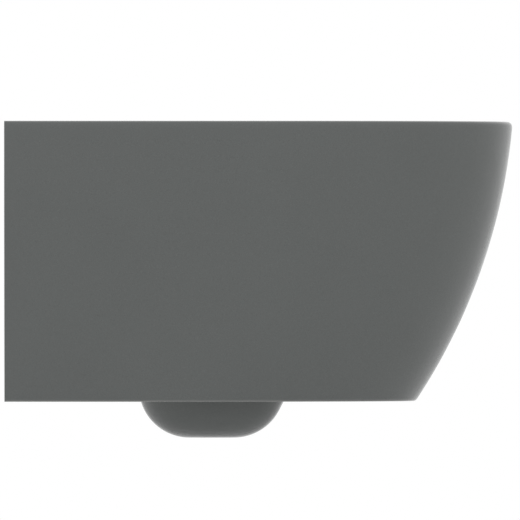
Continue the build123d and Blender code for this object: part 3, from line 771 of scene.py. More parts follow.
# %% [markdown]
# ## Step 8: closing and drilling the pan
#
# Deck top, deck underside and back edge are flat, so they are plain rings and one large face.
# The back edge is ground flat after firing, to sit on the tiles, so it is bare.
#
# The seat's two holes and the flush waterway go through walls at any angle to the grid. For that
# a boolean is the right tool. Its cutters are turned profiles, and those of the seat holes flare
# at both ends, which leaves the rounded, glazed lip that such holes have.


# %% Turned shapes
def turned(radius, along, centre, axis, columns=64):
    """Rings of points round an axis, for rows of radius and distance along the axis.

    A point lies at centre + axis * distance + radius * (u * cos(angle) + v * sin(angle)), where u
    and v are the two directions across the axis. A radius may also change with the angle.
    """
    axis = np.array(axis, float)
    u = np.array([0.0, 0.0, 1.0]) if abs(axis[2]) < 0.5 else np.array([1.0, 0.0, 0.0])
    v = np.cross(axis, u)
    angle = np.linspace(0, 2 * pi, columns, endpoint=False)
    ring = np.cos(angle)[:, None] * u + np.sin(angle)[:, None] * v
    radius, along = np.asarray(radius, float), np.asarray(along, float)
    radius = (radius[:, None] if radius.ndim == 1 else radius) * np.ones(columns)
    return np.array(centre, float) + along[:, None, None] * axis + radius[..., None] * ring


def lathe(path, centre, axis, columns=64):
    """The same for a path of corners, each a radius and a distance."""
    return turned(path[:, 0], path[:, 1], centre, axis, columns)


UP, FORWARD = (0, 0, 1), (0, -1, 0)
HANDS = (("left", -1), ("right", 1))
print("a turned ring of radius 5:", np.round(turned([5], [0], (0, 0, 0), UP, 4)[0], 1).tolist())


# %% Cutting
def cut(mesh, cutters, glaze=None):
    """Takes closed cutters away from a mesh with a boolean modifier and returns the result."""
    base = bpy.data.objects.new("base", mesh)
    tool = bpy.data.objects.new("tool", merged("tool", cutters, glaze))
    for thing in (base, tool):
        bpy.context.scene.collection.objects.link(thing)
    modifier = base.modifiers.new("cut", "BOOLEAN")
    modifier.operation, modifier.solver, modifier.object = "DIFFERENCE", "EXACT", tool
    bpy.context.view_layer.update()
    evaluated = base.evaluated_get(bpy.context.evaluated_depsgraph_get())
    finished = bpy.data.meshes.new_from_object(evaluated)
    finished.name = mesh.name
    for thing in (base, tool):
        bpy.data.objects.remove(thing)
    return finished


half_over = [(points + 0.5, faces) for points, faces in cube]
bitten = cut(merged("cube", cube), half_over)
print("faces of a cube with its corner cut out:", len(bitten.polygons))

# %% Close the pan
deck_top = between(deck_ring, bowl[0], 6)
deck_under = between(under_ring, bowl[-1], 4)
back_edge = np.concatenate([skirt[:, 0], back_under[::-1], skirt[::-1, -1], back_top])
pan_mesh = merged(
    "china_pan",
    [
        grid(skirt),
        grid(deck_top, wrap_columns=True),
        grid(bowl, wrap_columns=True),
        grid(deck_under, wrap_columns=True),
        cap(back_edge),
    ],
    [skirt_glaze_and_highlight, 1.0, bowl_glaze, 0.0, 0.0],
)
print("pan before drilling:", open_edges(pan_mesh), "open edges")

# %% Drill the pan
SEAT_X, SEAT_DEPTH, SEAT_R, SEAT_LIP = 77.5, 95.0, 7.0, 1.8
WATERWAY_R, INLET_Z = 17.0, 35.0
turn = np.linspace(0, pi / 2, 7)
flare_r = np.append(SEAT_R + SEAT_LIP * (1 - np.cos(turn)), SEAT_R + SEAT_LIP)
flare_z = np.append(DECK / 2 - SEAT_LIP + SEAT_LIP * np.sin(turn), DECK / 2 + 4)
flare = np.column_stack([np.append(flare_r[::-1], flare_r), np.append(-flare_z[::-1], flare_z)])
cutters = []
for _, side in HANDS:
    cutters += plugged(lathe(flare, (side * SEAT_X, -SEAT_DEPTH, RIM_RISE - DECK / 2), UP))
cutters += plugged(turned([WATERWAY_R] * 2, [122, 150], (0, 0, INLET_Z), FORWARD))
pan_mesh = cut(pan_mesh, cutters, [1.0] * len(cutters))
PAN_NODES = ["pan_rim", "pan_skirt", "pan_foot", "pan_channel", "pan_basin"]
piece("china_pan", pan_mesh, "pan", PAN_NODES, glazed)

# %% [markdown]
# ## Step 9: the trap that shows below the skirt
#
# The water seal needs depth, so the casting swells out below the bowl. Its walls lean in at 27
# degrees in front, 17 behind and 12 at the sides, and round into the floor with a radius of 54.
# All three share one rule: the reach follows the leaning line down to where the arc touches it,
# and then the arc's centre plus sqrt(R^2 - below^2).

# %% Trap levels
TRAP_REAR, TRAP_FRONT, TRAP_HALF, TRAP_PROUD, TRAP_ROUND = 143.6, 296.1, 62.0, 39.0, 54.0
LEAN_REAR, LEAN_FRONT, LEAN_SIDE = radians(17), radians(27), radians(12)
TRAP_WALL = 11.0


def trap_reach(drop, at_skirt, lean, wall):
    """How far the leaning and rounding wall reaches from the trap's middle at a drop."""
    floor, radius = SKIRT_HEIGHT + TRAP_PROUD - wall, TRAP_ROUND - wall
    line = at_skirt - wall - (drop - SKIRT_HEIGHT) * tan(lean)
    corner = at_skirt - wall - (floor - SKIRT_HEIGHT) * tan(lean)
    centre = corner - radius * tan((pi / 2 - lean) / 2)
    below = np.clip(drop - (floor - radius), 0, radius)
    return np.where(below < radius * sin(lean), line, centre + np.sqrt(radius**2 - below**2))


def trap_levels(wall, first_drop, rows):
    """Levels from a drop to the floor, closer together where the arc turns."""
    floor, radius = SKIRT_HEIGHT + TRAP_PROUD - wall, TRAP_ROUND - wall
    straight = np.linspace(first_drop, floor - radius, 6, endpoint=False)
    rounding = radius * np.sin(np.linspace(0, pi / 2, rows))
    drops = np.concatenate([straight, floor - radius + rounding])
    middle = (TRAP_REAR + TRAP_FRONT) / 2
    front = middle + trap_reach(drops, TRAP_FRONT - middle, LEAN_FRONT, wall)
    rear = middle - trap_reach(drops, middle - TRAP_REAR, LEAN_REAR, wall)
    half = trap_reach(drops, TRAP_HALF, LEAN_SIDE, wall)
    return np.column_stack([half, rear, front, (front + rear) / 2, drops])


lowest = trap_levels(0, DIP_DROP, 22)[-1]
print("half width, rear, front, widest and drop at the trap's floor:", lowest.round(1))

# %% The trap's path from its outer floor up, over the neck and down inside
NECK, TRAP_COLUMNS = 3, 128
GLAZE_FADE = (206, 262)
neck_outer = level(BASIN[NECK], basin_drops[NECK], BOWL_WALL - 3)
neck_inner = level(BASIN[NECK], basin_drops[NECK], BOWL_WALL - 6)
ceiling = level(BASIN[-1], DIP_DROP, BOWL_WALL - 5)
shell, cavity = trap_levels(0, DIP_DROP, 22), trap_levels(TRAP_WALL, DIP_DROP, 18)
neck_side = divided(rounded([neck_outer, shell[0], shell[1]], [14.0]), 12.0)
path = np.concatenate([shell[:0:-1], neck_side[-2::-1], [neck_inner], [ceiling], cavity])
trap = egg_rings(path, np.linspace(0, 2 * pi, TRAP_COLUMNS, endpoint=False))
outer_count = len(shell) + len(neck_side) - 2
trap_glaze = np.where(np.arange(len(path)) < outer_count, ease(path[:, 4], *GLAZE_FADE), 1.0)
trap_mesh = merged(
    "china_trap",
    [grid(trap, wrap_columns=True), pole(trap[0]), pole(trap[-1])],
    [np.repeat(trap_glaze, TRAP_COLUMNS), 1.0, 1.0],
)
print("trap rows:", len(path), "lowest point:", round(float(trap[..., 2].min()), 1))

# %% [markdown]
# ## Step 10: the leg that climbs to the outlet
#
# Behind the dip the waste climbs, goes over a crown and leaves level, through a spigot that
# every drain connector fits. The leg is a swept tube: an oval is carried along a centre line
# that is straight, then an arc of 60 mm radius, then straight again, while the oval eases into
# a circle. Its lowest ring is level and stands 2 mm below the ceiling inside the trap.
#
# The same sweep, without a wall, gives the cutter that opens the trap to the leg.

# %% Sweep the leg
CROWN_DEPTH, LEG_BEND, OUTLET_DROP = 100.0, 60.0, 180.0
LEG_HIGH, LEG_WIDE, CROWN_HIGH, LEG_WALL = 26.0, 38.0, 32.0, 10.0
SPIGOT_R, SPIGOT_BORE, SPIGOT_START, SPIGOT_END = 51.0, 42.5, 62.0, 15.0
LEG_COLUMNS = 80
CLIMB = pi / 2 - LEAN_REAR


def leg_rings(wall, pipe, foot_drop, pipe_end):
    """Oval rings along the leg, from a level ring at the foot to the end of the pipe.

    On the arc the depth is crown + bend * sin(angle) and the drop is outlet + bend * (1 -
    cos(angle)). A ring's points lie at wide * cos(phi) to the side and high * sin(phi) across.
    """
    share = np.linspace(0, 1, 25)
    run = np.linspace(0, 1, 11)[1:]
    angle = np.concatenate([CLIMB * (1 - share), 0 * run, [0]])
    bend_depth = CROWN_DEPTH + LEG_BEND * np.sin(CLIMB * (1 - share))
    run_depth = CROWN_DEPTH + (SPIGOT_START - CROWN_DEPTH) * run
    depth = np.concatenate([bend_depth, run_depth, [pipe_end]])
    drop = OUTLET_DROP + LEG_BEND * (1 - np.cos(angle))
    bend_high = LEG_HIGH + share * (CROWN_HIGH - LEG_HIGH) + wall
    run_high = CROWN_HIGH + wall + (pipe - CROWN_HIGH - wall) * ease(run, 0, 1)
    run_wide = LEG_WIDE + wall + (pipe - LEG_WIDE - wall) * ease(run, 0, 1)
    high = np.concatenate([bend_high, run_high, [pipe]])
    wide = np.concatenate([0 * share + LEG_WIDE + wall, run_wide, [pipe]])
    phi = np.linspace(0, 2 * pi, LEG_COLUMNS, endpoint=False)
    x, across = wide[:, None] * np.cos(phi), high[:, None] * np.sin(phi)
    y = -depth[:, None] - across * np.sin(angle)[:, None]
    z = RIM_RISE - drop[:, None] + across * np.cos(angle)[:, None]
    rings = np.stack([x, y, z], axis=-1)
    foot_depth = depth[0] + (foot_drop - drop[0]) * tan(LEAN_REAR)
    foot_y = -foot_depth - high[0] / np.cos(LEAN_REAR) * np.sin(phi)
    foot = np.stack([x[0], foot_y, np.full(LEG_COLUMNS, RIM_RISE - foot_drop)], axis=-1)
    return np.concatenate([between(foot, rings[0], 7)[:-1], rings])


print("leg rings and columns:", leg_rings(LEG_WALL, SPIGOT_R, DIP_DROP, SPIGOT_END).shape[:2])

# %% Close the leg with a rounded spigot end
LEG_BURY, END_ROUND = 2.0, 2.0
leg_outside = leg_rings(LEG_WALL, SPIGOT_R, DIP_DROP + LEG_BURY, SPIGOT_END + END_ROUND)
leg_inside = leg_rings(0, SPIGOT_BORE, DIP_DROP + LEG_BURY, SPIGOT_END + END_ROUND)
corner, inner_corner = np.array([SPIGOT_R, SPIGOT_END]), np.array([SPIGOT_BORE, SPIGOT_END])
forward = np.array([0, END_ROUND])
end_path = [corner + forward, corner, inner_corner, inner_corner + forward]
end_path = rounded(end_path, [END_ROUND, END_ROUND])[1:-1]
spigot_end = lathe(end_path, (0, 0, RIM_RISE - OUTLET_DROP), FORWARD, LEG_COLUMNS)
spigot_end = np.roll(spigot_end, LEG_COLUMNS // 4, axis=1)
leg = np.concatenate([leg_outside, spigot_end, leg_inside[::-1]])
spray = ease(RIM_RISE - leg[..., 2], *GLAZE_FADE) * ease(-leg[..., 1], 100, 150)
spray[len(leg_outside) + len(spigot_end):] = 1.0
leg_mesh = merged("china_outlet", [grid(leg, True, True)], [spray.ravel()])
piece("china_outlet", leg_mesh, "pan", ["pan_leg", "pan_outlet"], glazed)

# %% Open the trap to the leg
BORE_TRIM, BORE_BELOW, BORE_ROWS = -0.05, 8.0, 20
leg_bore = leg_rings(BORE_TRIM, SPIGOT_BORE, DIP_DROP + BORE_BELOW, SPIGOT_END)[:BORE_ROWS]
trap_mesh = cut(trap_mesh, plugged(leg_bore), [1.0] * 3)
TRAP_NODES = ["pan_trap", "pan_neck_left", "pan_neck_right"]
piece("china_trap", trap_mesh, "pan", TRAP_NODES, glazed)

# %% [markdown]
# ## Step 11: flush inlet and ribs
#
# The flush pipe pushes into a socket in the china, and a narrower waterway leads on to the
# niche. Both are turned shapes, with a soft flare where the tube joins the bowl's wall.
#
# Two flat ribs inside the skirt carry the pan. Each has a window for its bracket. A rib is an
# outline with a flat face on either side, and its edges get a Bevel modifier, because every edge
# of a plate gets the same small rounding.

# %% Flush inlet
SOCKET_R, SOCKET_OUT, TUBE_OUT, INLET_START, INLET_END = 27.5, 36.0, 27.0, 8.0, 131.8
inlet_path = rounded(
    [
        (SOCKET_R, 30),
        (SOCKET_R, INLET_START),
        (SOCKET_OUT, INLET_START),
        (SOCKET_OUT, 58),
        (TUBE_OUT, 64),
        (TUBE_OUT, 122),
        (34, INLET_END),
        (WATERWAY_R, INLET_END),
        (WATERWAY_R, 50),
        (SOCKET_R, 48),
        (SOCKET_R, 30),
    ],
    [1.5, 2, 6, 6, 12, 1, 0.5, 1.5, 1.5],
)[:-1]
inlet = lathe(divided(inlet_path, 8.0), (0, 0, INLET_Z), FORWARD, 72)
inlet_mesh = merged("china_inlet", [grid(inlet, True, True)])
piece("china_inlet", inlet_mesh, "pan", ["pan_inlet"], bisque)

# %% Ribs
RIB_DEPTH, RIB_THICK, RIB_INNER, RIB_FOOT = 55.0, 12.0, 44.0, -45.0
INTO_WALL, INTO_DECK, CUT_PAST = 2.5, 2.0, 5.0
WINDOW_HALF, WINDOW_LOW, WINDOW_HIGH, WINDOW_ROUND = 19.5, -16.5, 17.0, 3.0
RIB_TOP_RUN, RIB_FOOT_ROUND = 60.0, 12.0


def sheets(outline_xz, depths):
    """The same outline, in x and z, at several depths."""
    x, z = outline_xz.T
    return np.array([np.column_stack([x, np.full(len(x), -depth), z]) for depth in depths])


z = np.linspace(RIB_FOOT, RIM_RISE - DECK + INTO_DECK, 14)
edge = np.column_stack([WIDTH / 2 - fallen(SIDE_ARC, RIM_RISE - z) - WALL + INTO_WALL, z])
top = edge[-1, 1]
top_run = [(edge[-1, 0] - RIB_TOP_RUN, top), (RIB_INNER, top)]
rib_corners = top_run + [(RIB_INNER, RIB_FOOT), edge[0]]
foot_run = divided(rounded(rib_corners, [1, RIB_FOOT_ROUND]), 15.0)[:-1]
rib_outline = np.concatenate([edge, foot_run])
window_corners = rectangle(-WINDOW_HALF, WINDOW_HALF, WINDOW_LOW, WINDOW_HIGH)
for hand, side in HANDS:
    plate = sheets(rib_outline * (side, 1), (RIB_DEPTH, RIB_DEPTH + RIB_THICK))
    hole = rounded_ring(window_corners, WINDOW_ROUND) + (side * STUD_X, 0)
    window = sheets(hole, (RIB_DEPTH - CUT_PAST, RIB_DEPTH + RIB_THICK + CUT_PAST))
    rib_mesh = cut(merged(f"china_rib_{hand}", plugged(plate)), plugged(window))
    piece(f"china_rib_{hand}", rib_mesh, "pan", [f"pan_rib_{hand}"], bisque, bevel=1.2)

# %% [markdown]
# ## Step 12: bent steel brackets
#
# A bracket is pressed from 3 mm sheet: a channel, open at the top, whose side walls are rounded
# off at the nose, and a flange with a hole for the wall stud. The channel is a U section carried
# forward, and its height at each depth follows the nose's quarter circle. Channel and flange
# are joined by a weld, which is a round bead carried round the U. Its radius swells and shrinks
# a little, because a welder lays it down drop by drop.

# %% Channel
U_OUT, SHEET, REACH, NOSE_ROUND = 18.0, 3.0, 108.0, 10.0
U_IN, U_TOP, U_FLOOR, U_LOW = U_OUT - SHEET, 15.0, -12.0, -15.0
LAND, BEND_OUT, BEND_IN, LOWERED_FROM = 0.6, 4.0, 1.4, 9.0
u_section = rounded_ring(
    [(-U_OUT, U_TOP), (-U_OUT, U_LOW), (U_OUT, U_LOW), (U_OUT, U_TOP)]
    + [(U_IN, U_TOP), (U_IN, U_FLOOR), (-U_IN, U_FLOOR), (-U_IN, U_TOP)],
    [LAND, BEND_OUT, BEND_OUT, LAND, LAND, BEND_IN, BEND_IN, LAND],
    6,
)
nose_start = REACH - NOSE_ROUND
nose_depth = nose_start + NOSE_ROUND * np.sin(np.linspace(0, pi / 2, 12)[1:])
arm_depth = np.concatenate([np.linspace(SHEET / 2, nose_start, 12), nose_depth])
into_nose = np.maximum(0, arm_depth - nose_start)
arm_top = U_TOP - NOSE_ROUND + np.sqrt(np.maximum(0, NOSE_ROUND**2 - into_nose**2))
lowered = np.clip((u_section[:, 1] + LOWERED_FROM) / (U_TOP + LOWERED_FROM), 0, 1)
arm_z = u_section[:, 1] - lowered * (U_TOP - arm_top)[:, None]
arm_rings = np.stack([u_section[:, 0] + 0 * arm_z, -arm_depth[:, None] + 0 * arm_z, arm_z], axis=-1)
print("channel rows and columns:", arm_rings.shape[:2])

# %% Flange
FLANGE_HALF, FLANGE_ROUND, FLANGE_EDGE, STUD_HOLE = 30.0, 6.0, 0.4, 6.5
square_corners = rectangle(-FLANGE_HALF, FLANGE_HALF, -FLANGE_HALF, FLANGE_HALF)
flange_edge = rounded_ring(square_corners, FLANGE_ROUND, 8)
flange_edge = divided(np.vstack([flange_edge, flange_edge[:1]]), 6.0)[:-1]
hole_edge = STUD_HOLE * flange_edge / np.linalg.norm(flange_edge, axis=1)[:, None]
flange_rows = [
    (hole_edge, SHEET - FLANGE_EDGE),
    (hole_edge * 1.06, SHEET),
    (flange_edge * 0.99, SHEET),
    (flange_edge, SHEET - FLANGE_EDGE),
    (flange_edge, FLANGE_EDGE),
    (flange_edge * 0.99, 0),
    (hole_edge * 1.06, 0),
    (hole_edge, FLANGE_EDGE),
]
flange_rings = np.concatenate([sheets(ring, [depth]) for ring, depth in flange_rows])
print("flange rows and columns:", flange_rings.shape[:2])


# %% Weld bead
def bead(path, radius, columns=10):
    """A round bead along a path in the plane y = constant, closed at both ends.

    A point lies at path + radius * (cos(phi) * across + sin(phi) * y), where across is the path's
    direction turned by a right angle.
    """
    step = np.gradient(path, axis=0)
    step /= np.linalg.norm(step, axis=1)[:, None]
    across = np.column_stack([-step[:, 2], np.zeros(len(path)), step[:, 0]])
    phi = np.linspace(0, 2 * pi, columns, endpoint=False)
    ring = np.cos(phi)[:, None] * across[:, None] + np.sin(phi)[:, None] * np.array([0, 1.0, 0])
    rings = path[:, None] + radius[:, None, None] * ring
    return [grid(rings, wrap_columns=True), pole(rings[0]), pole(rings[-1])]


WELD_HALF, WELD_LOW, WELD_HIGH, WELD_DEPTH = 18.5, -15.5, 9.0, 3.3
WELD_R, WELD_SWELL, WELD_STEP, DROP_TURN = 1.9, 0.25, 0.5, 0.5
left_run = [(-WELD_HALF, WELD_HIGH), (-WELD_HALF, WELD_LOW)]
right_run = [(WELD_HALF, WELD_LOW), (WELD_HALF, WELD_HIGH)]
weld_line = divided(rounded(left_run + right_run, [BEND_OUT, BEND_OUT]), WELD_STEP)
weld_line = sheets(weld_line, [WELD_DEPTH])[0]
weld_radius = WELD_R + WELD_SWELL * np.abs(np.sin(DROP_TURN * np.arange(len(weld_line))))
print("weld length:", round(WELD_STEP * len(weld_line)), "mm")

# %% Assemble the brackets
PIVOT_HOLE = 6.2
for hand, side in HANDS:
    place = np.array([side * STUD_X, 0, 0])
    shaft_hole = plugged(turned([PIVOT_HOLE] * 2, [-20, -8], place + (0, -PIVOT_DEPTH, 0), UP, 40))
    arm = cut(merged("arm", plugged(arm_rings + place)), shaft_hole)
    weld = bead(weld_line + place, weld_radius)
    extra = merged("extra", [grid(flange_rings + place, True, True)] + weld)
    name, node = f"steel_bracket_{hand}", f"wall_bracket_{hand}"
    piece(name, joined(name, arm, extra), "pan", [node], zinc_sheet, bevel=0.35)

# %% [markdown]
# ## Step 13: saddle, washer and nut
#
# The rib rests on a nylon saddle, so that china never sits on steel. It is one section carried
# across the bracket, with two lips that hold it in the channel.
#
# The nut is turned from a hexagon. Its radius at an angle is the smaller of two: the hexagon's,
# which is half the width across flats divided by cos(angle from the flat), and the cone's that
# turned its corners off. The thread is a true helix, because the groove's phase moves on by one
# pitch for each turn of the angle.


# %% Saddle
def carried(rows):
    """Rings from rows of a section, in depth and z, and the x at which it stands."""
    return np.array([np.column_stack([np.full(len(s), x), -s[:, 0], s[:, 1]]) for s, x in rows])


def strip(section, start, end, soft=0.4):
    """A section carried along x, with its ends drawn in a little."""
    middle = section.mean(axis=0)
    drawn_in = middle + (section - middle) * (1 - soft / 8)
    rows = [(drawn_in, start), (section, start + soft), (section, end - soft), (drawn_in, end)]
    return plugged(carried(rows))


saddle_section = rounded_ring(
    [(50, 15), (72, 15), (72, 21), (68, 21), (68, 17), (54, 17), (54, 21), (50, 21)],
    [0.8, 0.8, 0.8, 0.8, 0.5, 0.5, 0.8, 0.8],
)
lip_section = rounded_ring(rectangle(54, 68, 9, 15.2), 0.6, 4)
LIP_OUT, LIP_IN = 14.8, 12.8


def saddle_mesh(x0):
    """A saddle across the bracket at x0, with its two lips."""
    patches = strip(saddle_section, x0 - U_OUT, x0 + U_OUT)
    patches += strip(lip_section, x0 - LIP_OUT, x0 - LIP_IN, 0.2)
    patches += strip(lip_section, x0 + LIP_IN, x0 + LIP_OUT, 0.2)
    return merged("nylon_saddle", patches)


print("faces of a saddle:", len(saddle_mesh(STUD_X).polygons))

# %% Outside of the nut
NUT_COLUMNS, NUT_HEIGHT, NUT_START, WASHER_R = 96, 10.0, 5.5, 11.5
HEX_FLAT, NUT_CHAMFER, NUT_BORE, PITCH, THREAD_DEPTH = 9.0, 1.2, 6.1, 1.75, 0.7
CORNER_TO_FLAT, CONE_SLOPE, LEAD_IN, THREAD_STEP = 1.1547, 1.6, 1.1, 0.15
angle = np.linspace(0, 2 * pi, NUT_COLUMNS, endpoint=False)


def hexagon(half_flats):
    """The reach of a hexagon at each angle: half the flats / cos(angle from the nearest flat)."""
    return half_flats / np.cos((angle + pi / 6) % (pi / 3) - pi / 6)


along = np.concatenate([[0, 0.2, 0.5, 0.8], np.linspace(1.2, 8.8, 6), [9.2, 9.5, 9.8, 10]])
from_end = np.minimum(along, NUT_HEIGHT - along)
cone = HEX_FLAT * CORNER_TO_FLAT - CONE_SLOPE * np.clip(NUT_CHAMFER - from_end, 0, None)
nut_side = np.minimum(hexagon(HEX_FLAT)[None], cone[:, None])
print("nut across corners:", round(2 * float(nut_side.max()), 2), "mm")

# %% Thread
thread = np.arange(NUT_HEIGHT, -0.01, -THREAD_STEP)
phase = (thread[:, None] / PITCH - angle[None] / (2 * pi)) % 1.0
entry = LEAD_IN * np.clip(1 - np.minimum(thread, NUT_HEIGHT - thread) / LEAD_IN, 0, 1)
groove = THREAD_DEPTH * (1 - np.abs(2 * phase - 1))
nut_bore = NUT_BORE + np.maximum(groove, entry[:, None])
nut_radius = np.concatenate([nut_side, nut_bore])
nut_along = np.concatenate([along, thread]) + NUT_START
print("turns of thread:", round(NUT_HEIGHT / PITCH, 1))

# %% Saddles, washers and nuts
washer_path = rounded_ring(rectangle(STUD_HOLE, WASHER_R, SHEET, NUT_START), 0.35, 4)
for hand, side in HANDS:
    x0, saddle_node = side * STUD_X, f"bracket_saddle_{hand}"
    piece(f"nylon_saddle_{hand}", saddle_mesh(x0), "pan", [saddle_node], nylon)
    stud = (x0, 0, 0)
    washer = merged("washer", [grid(lathe(washer_path, stud, FORWARD), True, True)])
    piece(f"washer_{hand}", washer, "pan", [f"stud_washer_{hand}"], zinc_small)
    nut = turned(nut_radius, nut_along, stud, FORWARD, NUT_COLUMNS)
    nut = merged("nut", [grid(nut, True, True)])
    piece(f"nut_{hand}", nut, "pan", [f"stud_nut_{hand}"], zinc_small, sharp=24)

# %% [markdown]
# ## Step 14: the clamp cams, which turn
#
# Each cam is an eccentric disc on a pivot. A hexagon key from below turns it by half a turn, and
# its thick side then draws the rib, and with it the whole pan, to the wall. It is one stack of
# rings: each row has its own radius, height and shift of its centre, so disc and pivot are one
# closed mesh. The key's socket is a row of rings with a hexagon's radius.
#
# The cam and the spring ring that holds it belong to the moving bodies, so they ride on those.

# %% Rows of the cam
KEY_FLAT, THROW = 4.0, 4.0
cam_rows = np.array(
    [
        (5.2, -25.3, 0),
        (8, -25.3, 1.2),
        (11.5, -25.3, 2.7),
        (14.6, -25.3, THROW),
        (15.2, -25.15, THROW),
        (15.7, -24.7, THROW),
        (16, -24.1, THROW),
        (16, -20.3, THROW),
        (16, -16.5, THROW),
        (15.7, -15.9, THROW),
        (15.2, -15.45, THROW),
        (14.6, -15.3, THROW),
        (11, -15.3, 2.2),
        (7.2, -15.3, 0),
        (6.3, -15.1, 0),
        (6, -14.6, 0),
        (6, -11.9, 0),
        (5.9, -11.8, 0),
        (5, -11.8, 0),
        (5, -10.4, 0),
        (5.9, -10.4, 0),
        (6, -10.3, 0),
        (6, -7.8, 0),
        (5.75, -7.25, 0),
        (5.1, -7, 0),
    ]
)
key = hexagon(KEY_FLAT)
cam_radius = np.vstack([key, key, cam_rows[:, :1] * np.ones(len(angle))])
cam_z = np.concatenate([[-18.3, -24.7], cam_rows[:, 1]])[:, None]
cam_shift = np.concatenate([[0, 0], cam_rows[:, 2]])[:, None]
print("cam rows:", len(cam_z), "height:", round(float(np.ptp(cam_z)), 1), "mm")

# %% Cam
SOCKET_TIP = 0.9


def cam_mesh(x0):
    """A cam at x0, closed by a pole at the socket's bottom and one on top of the pivot."""
    x = x0 + cam_radius * np.cos(angle)
    y = cam_shift - PIVOT_DEPTH + cam_radius * np.sin(angle)
    cam = np.stack([x, y, cam_z + 0 * x], axis=-1)
    socket_end, socket_faces = pole(cam[0])
    socket_end[-1, 2] += SOCKET_TIP
    patches = [grid(cam, wrap_columns=True), (socket_end, socket_faces), pole(cam[-1])]
    return merged("cam", patches)


print("faces of a cam:", len(cam_mesh(STUD_X).polygons))

# %% Spring ring
MOUTH_HALF, RING_BORE, RING_R, RING_LOW, RING_HIGH = 3.5, 5.1, 9.5, -11.7, -10.5
ring_section = rounded_ring(rectangle(RING_BORE, RING_R, RING_LOW, RING_HIGH), 0.3, 4)
reach = ring_section[:, 0]
opening = np.arcsin(MOUTH_HALF / reach)
spin = -pi / 2 + opening + np.linspace(0, 1, 73)[:, None] * (2 * pi - 2 * opening)


def ring_mesh(x0):
    """A spring ring at x0: its section carried round the pivot from one end to the other."""
    x, y = x0 + reach * np.cos(spin), -PIVOT_DEPTH + reach * np.sin(spin)
    return merged("spring_ring", plugged(np.stack([x, y, ring_section[:, 1] + 0 * x], axis=-1)))


print("the ring's mouth opens", round(2 * float(np.degrees(opening[0]))), "degrees at its bore")

# %% Put cams and rings on the moving bodies
for hand, side in HANDS:
    x0, body = side * STUD_X, f"cam_{hand}"
    piece(f"cam_{hand}", cam_mesh(x0), body, [f"clamp_cam_{hand}"], cam_steel)
    ring_node = f"cam_ring_{hand}"
    piece(f"spring_ring_{hand}", ring_mesh(x0), body, [ring_node], spring_steel)

# %% [markdown]
# ## Step 15: seal, flow distributor and gasket
#
# The rubber collar grips the flush pipe. Its grooves leave ribs that give way when it is pushed
# into the socket. The distributor is a moulded tube across the niche, open at both ends, so the
# flush leaves left and right. Seen from the front its corners are round, because the section gets
# lower towards the ends. The gasket behind it is a flat ring whose radius stops at the niche's
# floor.

# %% Collar
COLLAR_R, COLLAR_BORE, GROOVE_R, GROOVE_WIDTH = 27.3, 22.5, 25.7, 1.6
BRIM_R, BRIM_START, COLLAR_END = 32.0, 5.0, 42.0
GROOVE_STARTS = (18.2, 26.7, 35.2)
collar = [(COLLAR_BORE, BRIM_START), (BRIM_R, BRIM_START)]
collar += [(BRIM_R, INLET_START), (COLLAR_R, INLET_START)]
for start in GROOVE_STARTS:
    groove_end = start + GROOVE_WIDTH
    collar += [(COLLAR_R, start), (GROOVE_R, start), (GROOVE_R, groove_end), (COLLAR_R, groove_end)]
collar += [(COLLAR_R, COLLAR_END), (COLLAR_BORE, COLLAR_END)]
seal_path = divided(rounded_ring(collar, 0.5, 4), 4.0)
seal_rings = lathe(seal_path, (0, 0, INLET_Z), FORWARD, 72)
seal_mesh = merged("rubber_seal", [grid(seal_rings, True, True)])
piece("rubber_seal", seal_mesh, "pan", ["inlet_seal"], black_rubber)

# %% Tube of the distributor
HEAD_HALF, HEAD_Z, HEAD_RISE, HEAD_ROUND = 30.0, 38.0, 16.0, 5.0
HEAD_BACK, HEAD_FRONT, HEAD_WALL, PASSAGE_RISE = 143.5, 158.5, 2.5, 8.5
outer_box = rectangle(HEAD_BACK, HEAD_FRONT, HEAD_Z - HEAD_RISE, HEAD_Z + HEAD_RISE)
outer_box = rounded_ring(outer_box, 2.0, 6)
passage = (HEAD_BACK + HEAD_WALL, HEAD_FRONT - HEAD_WALL)
inner_box = rectangle(*passage, HEAD_Z - PASSAGE_RISE, HEAD_Z + PASSAGE_RISE)
inner_box = rounded_ring(inner_box, 1.5, 6)
stations = HEAD_HALF * np.sin(np.linspace(-pi / 2, pi / 2, 33))
into_end = np.maximum(0, np.abs(stations) - (HEAD_HALF - HEAD_ROUND))
drawn = HEAD_ROUND - np.sqrt(np.maximum(0, HEAD_ROUND**2 - into_end**2))
outer_z = HEAD_Z + (outer_box[:, 1] - HEAD_Z) * (1 - drawn / HEAD_RISE)[:, None]
outer_rows = [np.column_stack([outer_box[:, 0], z]) for z in outer_z]
outside_rings = carried(zip(outer_rows, stations))
inside_rings = carried([(inner_box, x) for x in stations[::-1]])
head = merged("head", [grid(np.concatenate([outside_rings, inside_rings]), True, True)])
print("rows and columns outside and inside:", outside_rings.shape[:2], inside_rings.shape[:2])

# %% Openings and stub of the distributor
THROAT_R, SLOT_HALF, STUB_BORE, STUB_R, STUB_START = 8.5, 15.0, 14.2, 16.7, 117.5
slot_section = rounded_ring(rectangle(148.5, 153.5, 15, 44), 1.5)
slot = carried([(slot_section, x) for x in (-SLOT_HALF, SLOT_HALF)])
throat = turned([THROAT_R, THROAT_R], [140, 147.5], (0, 0, HEAD_Z), FORWARD, 48)
head = cut(head, plugged(slot) + plugged(throat))
stub_path = rounded_ring(rectangle(STUB_BORE, STUB_R, STUB_START, HEAD_BACK + 0.5), 0.5, 4)
stub = merged("stub", [grid(lathe(stub_path, (0, 0, INLET_Z), FORWARD), True, True)])
distributor = joined("distributor", head, stub)
piece("distributor", distributor, "pan", ["flow_distributor"], grey_plastic)

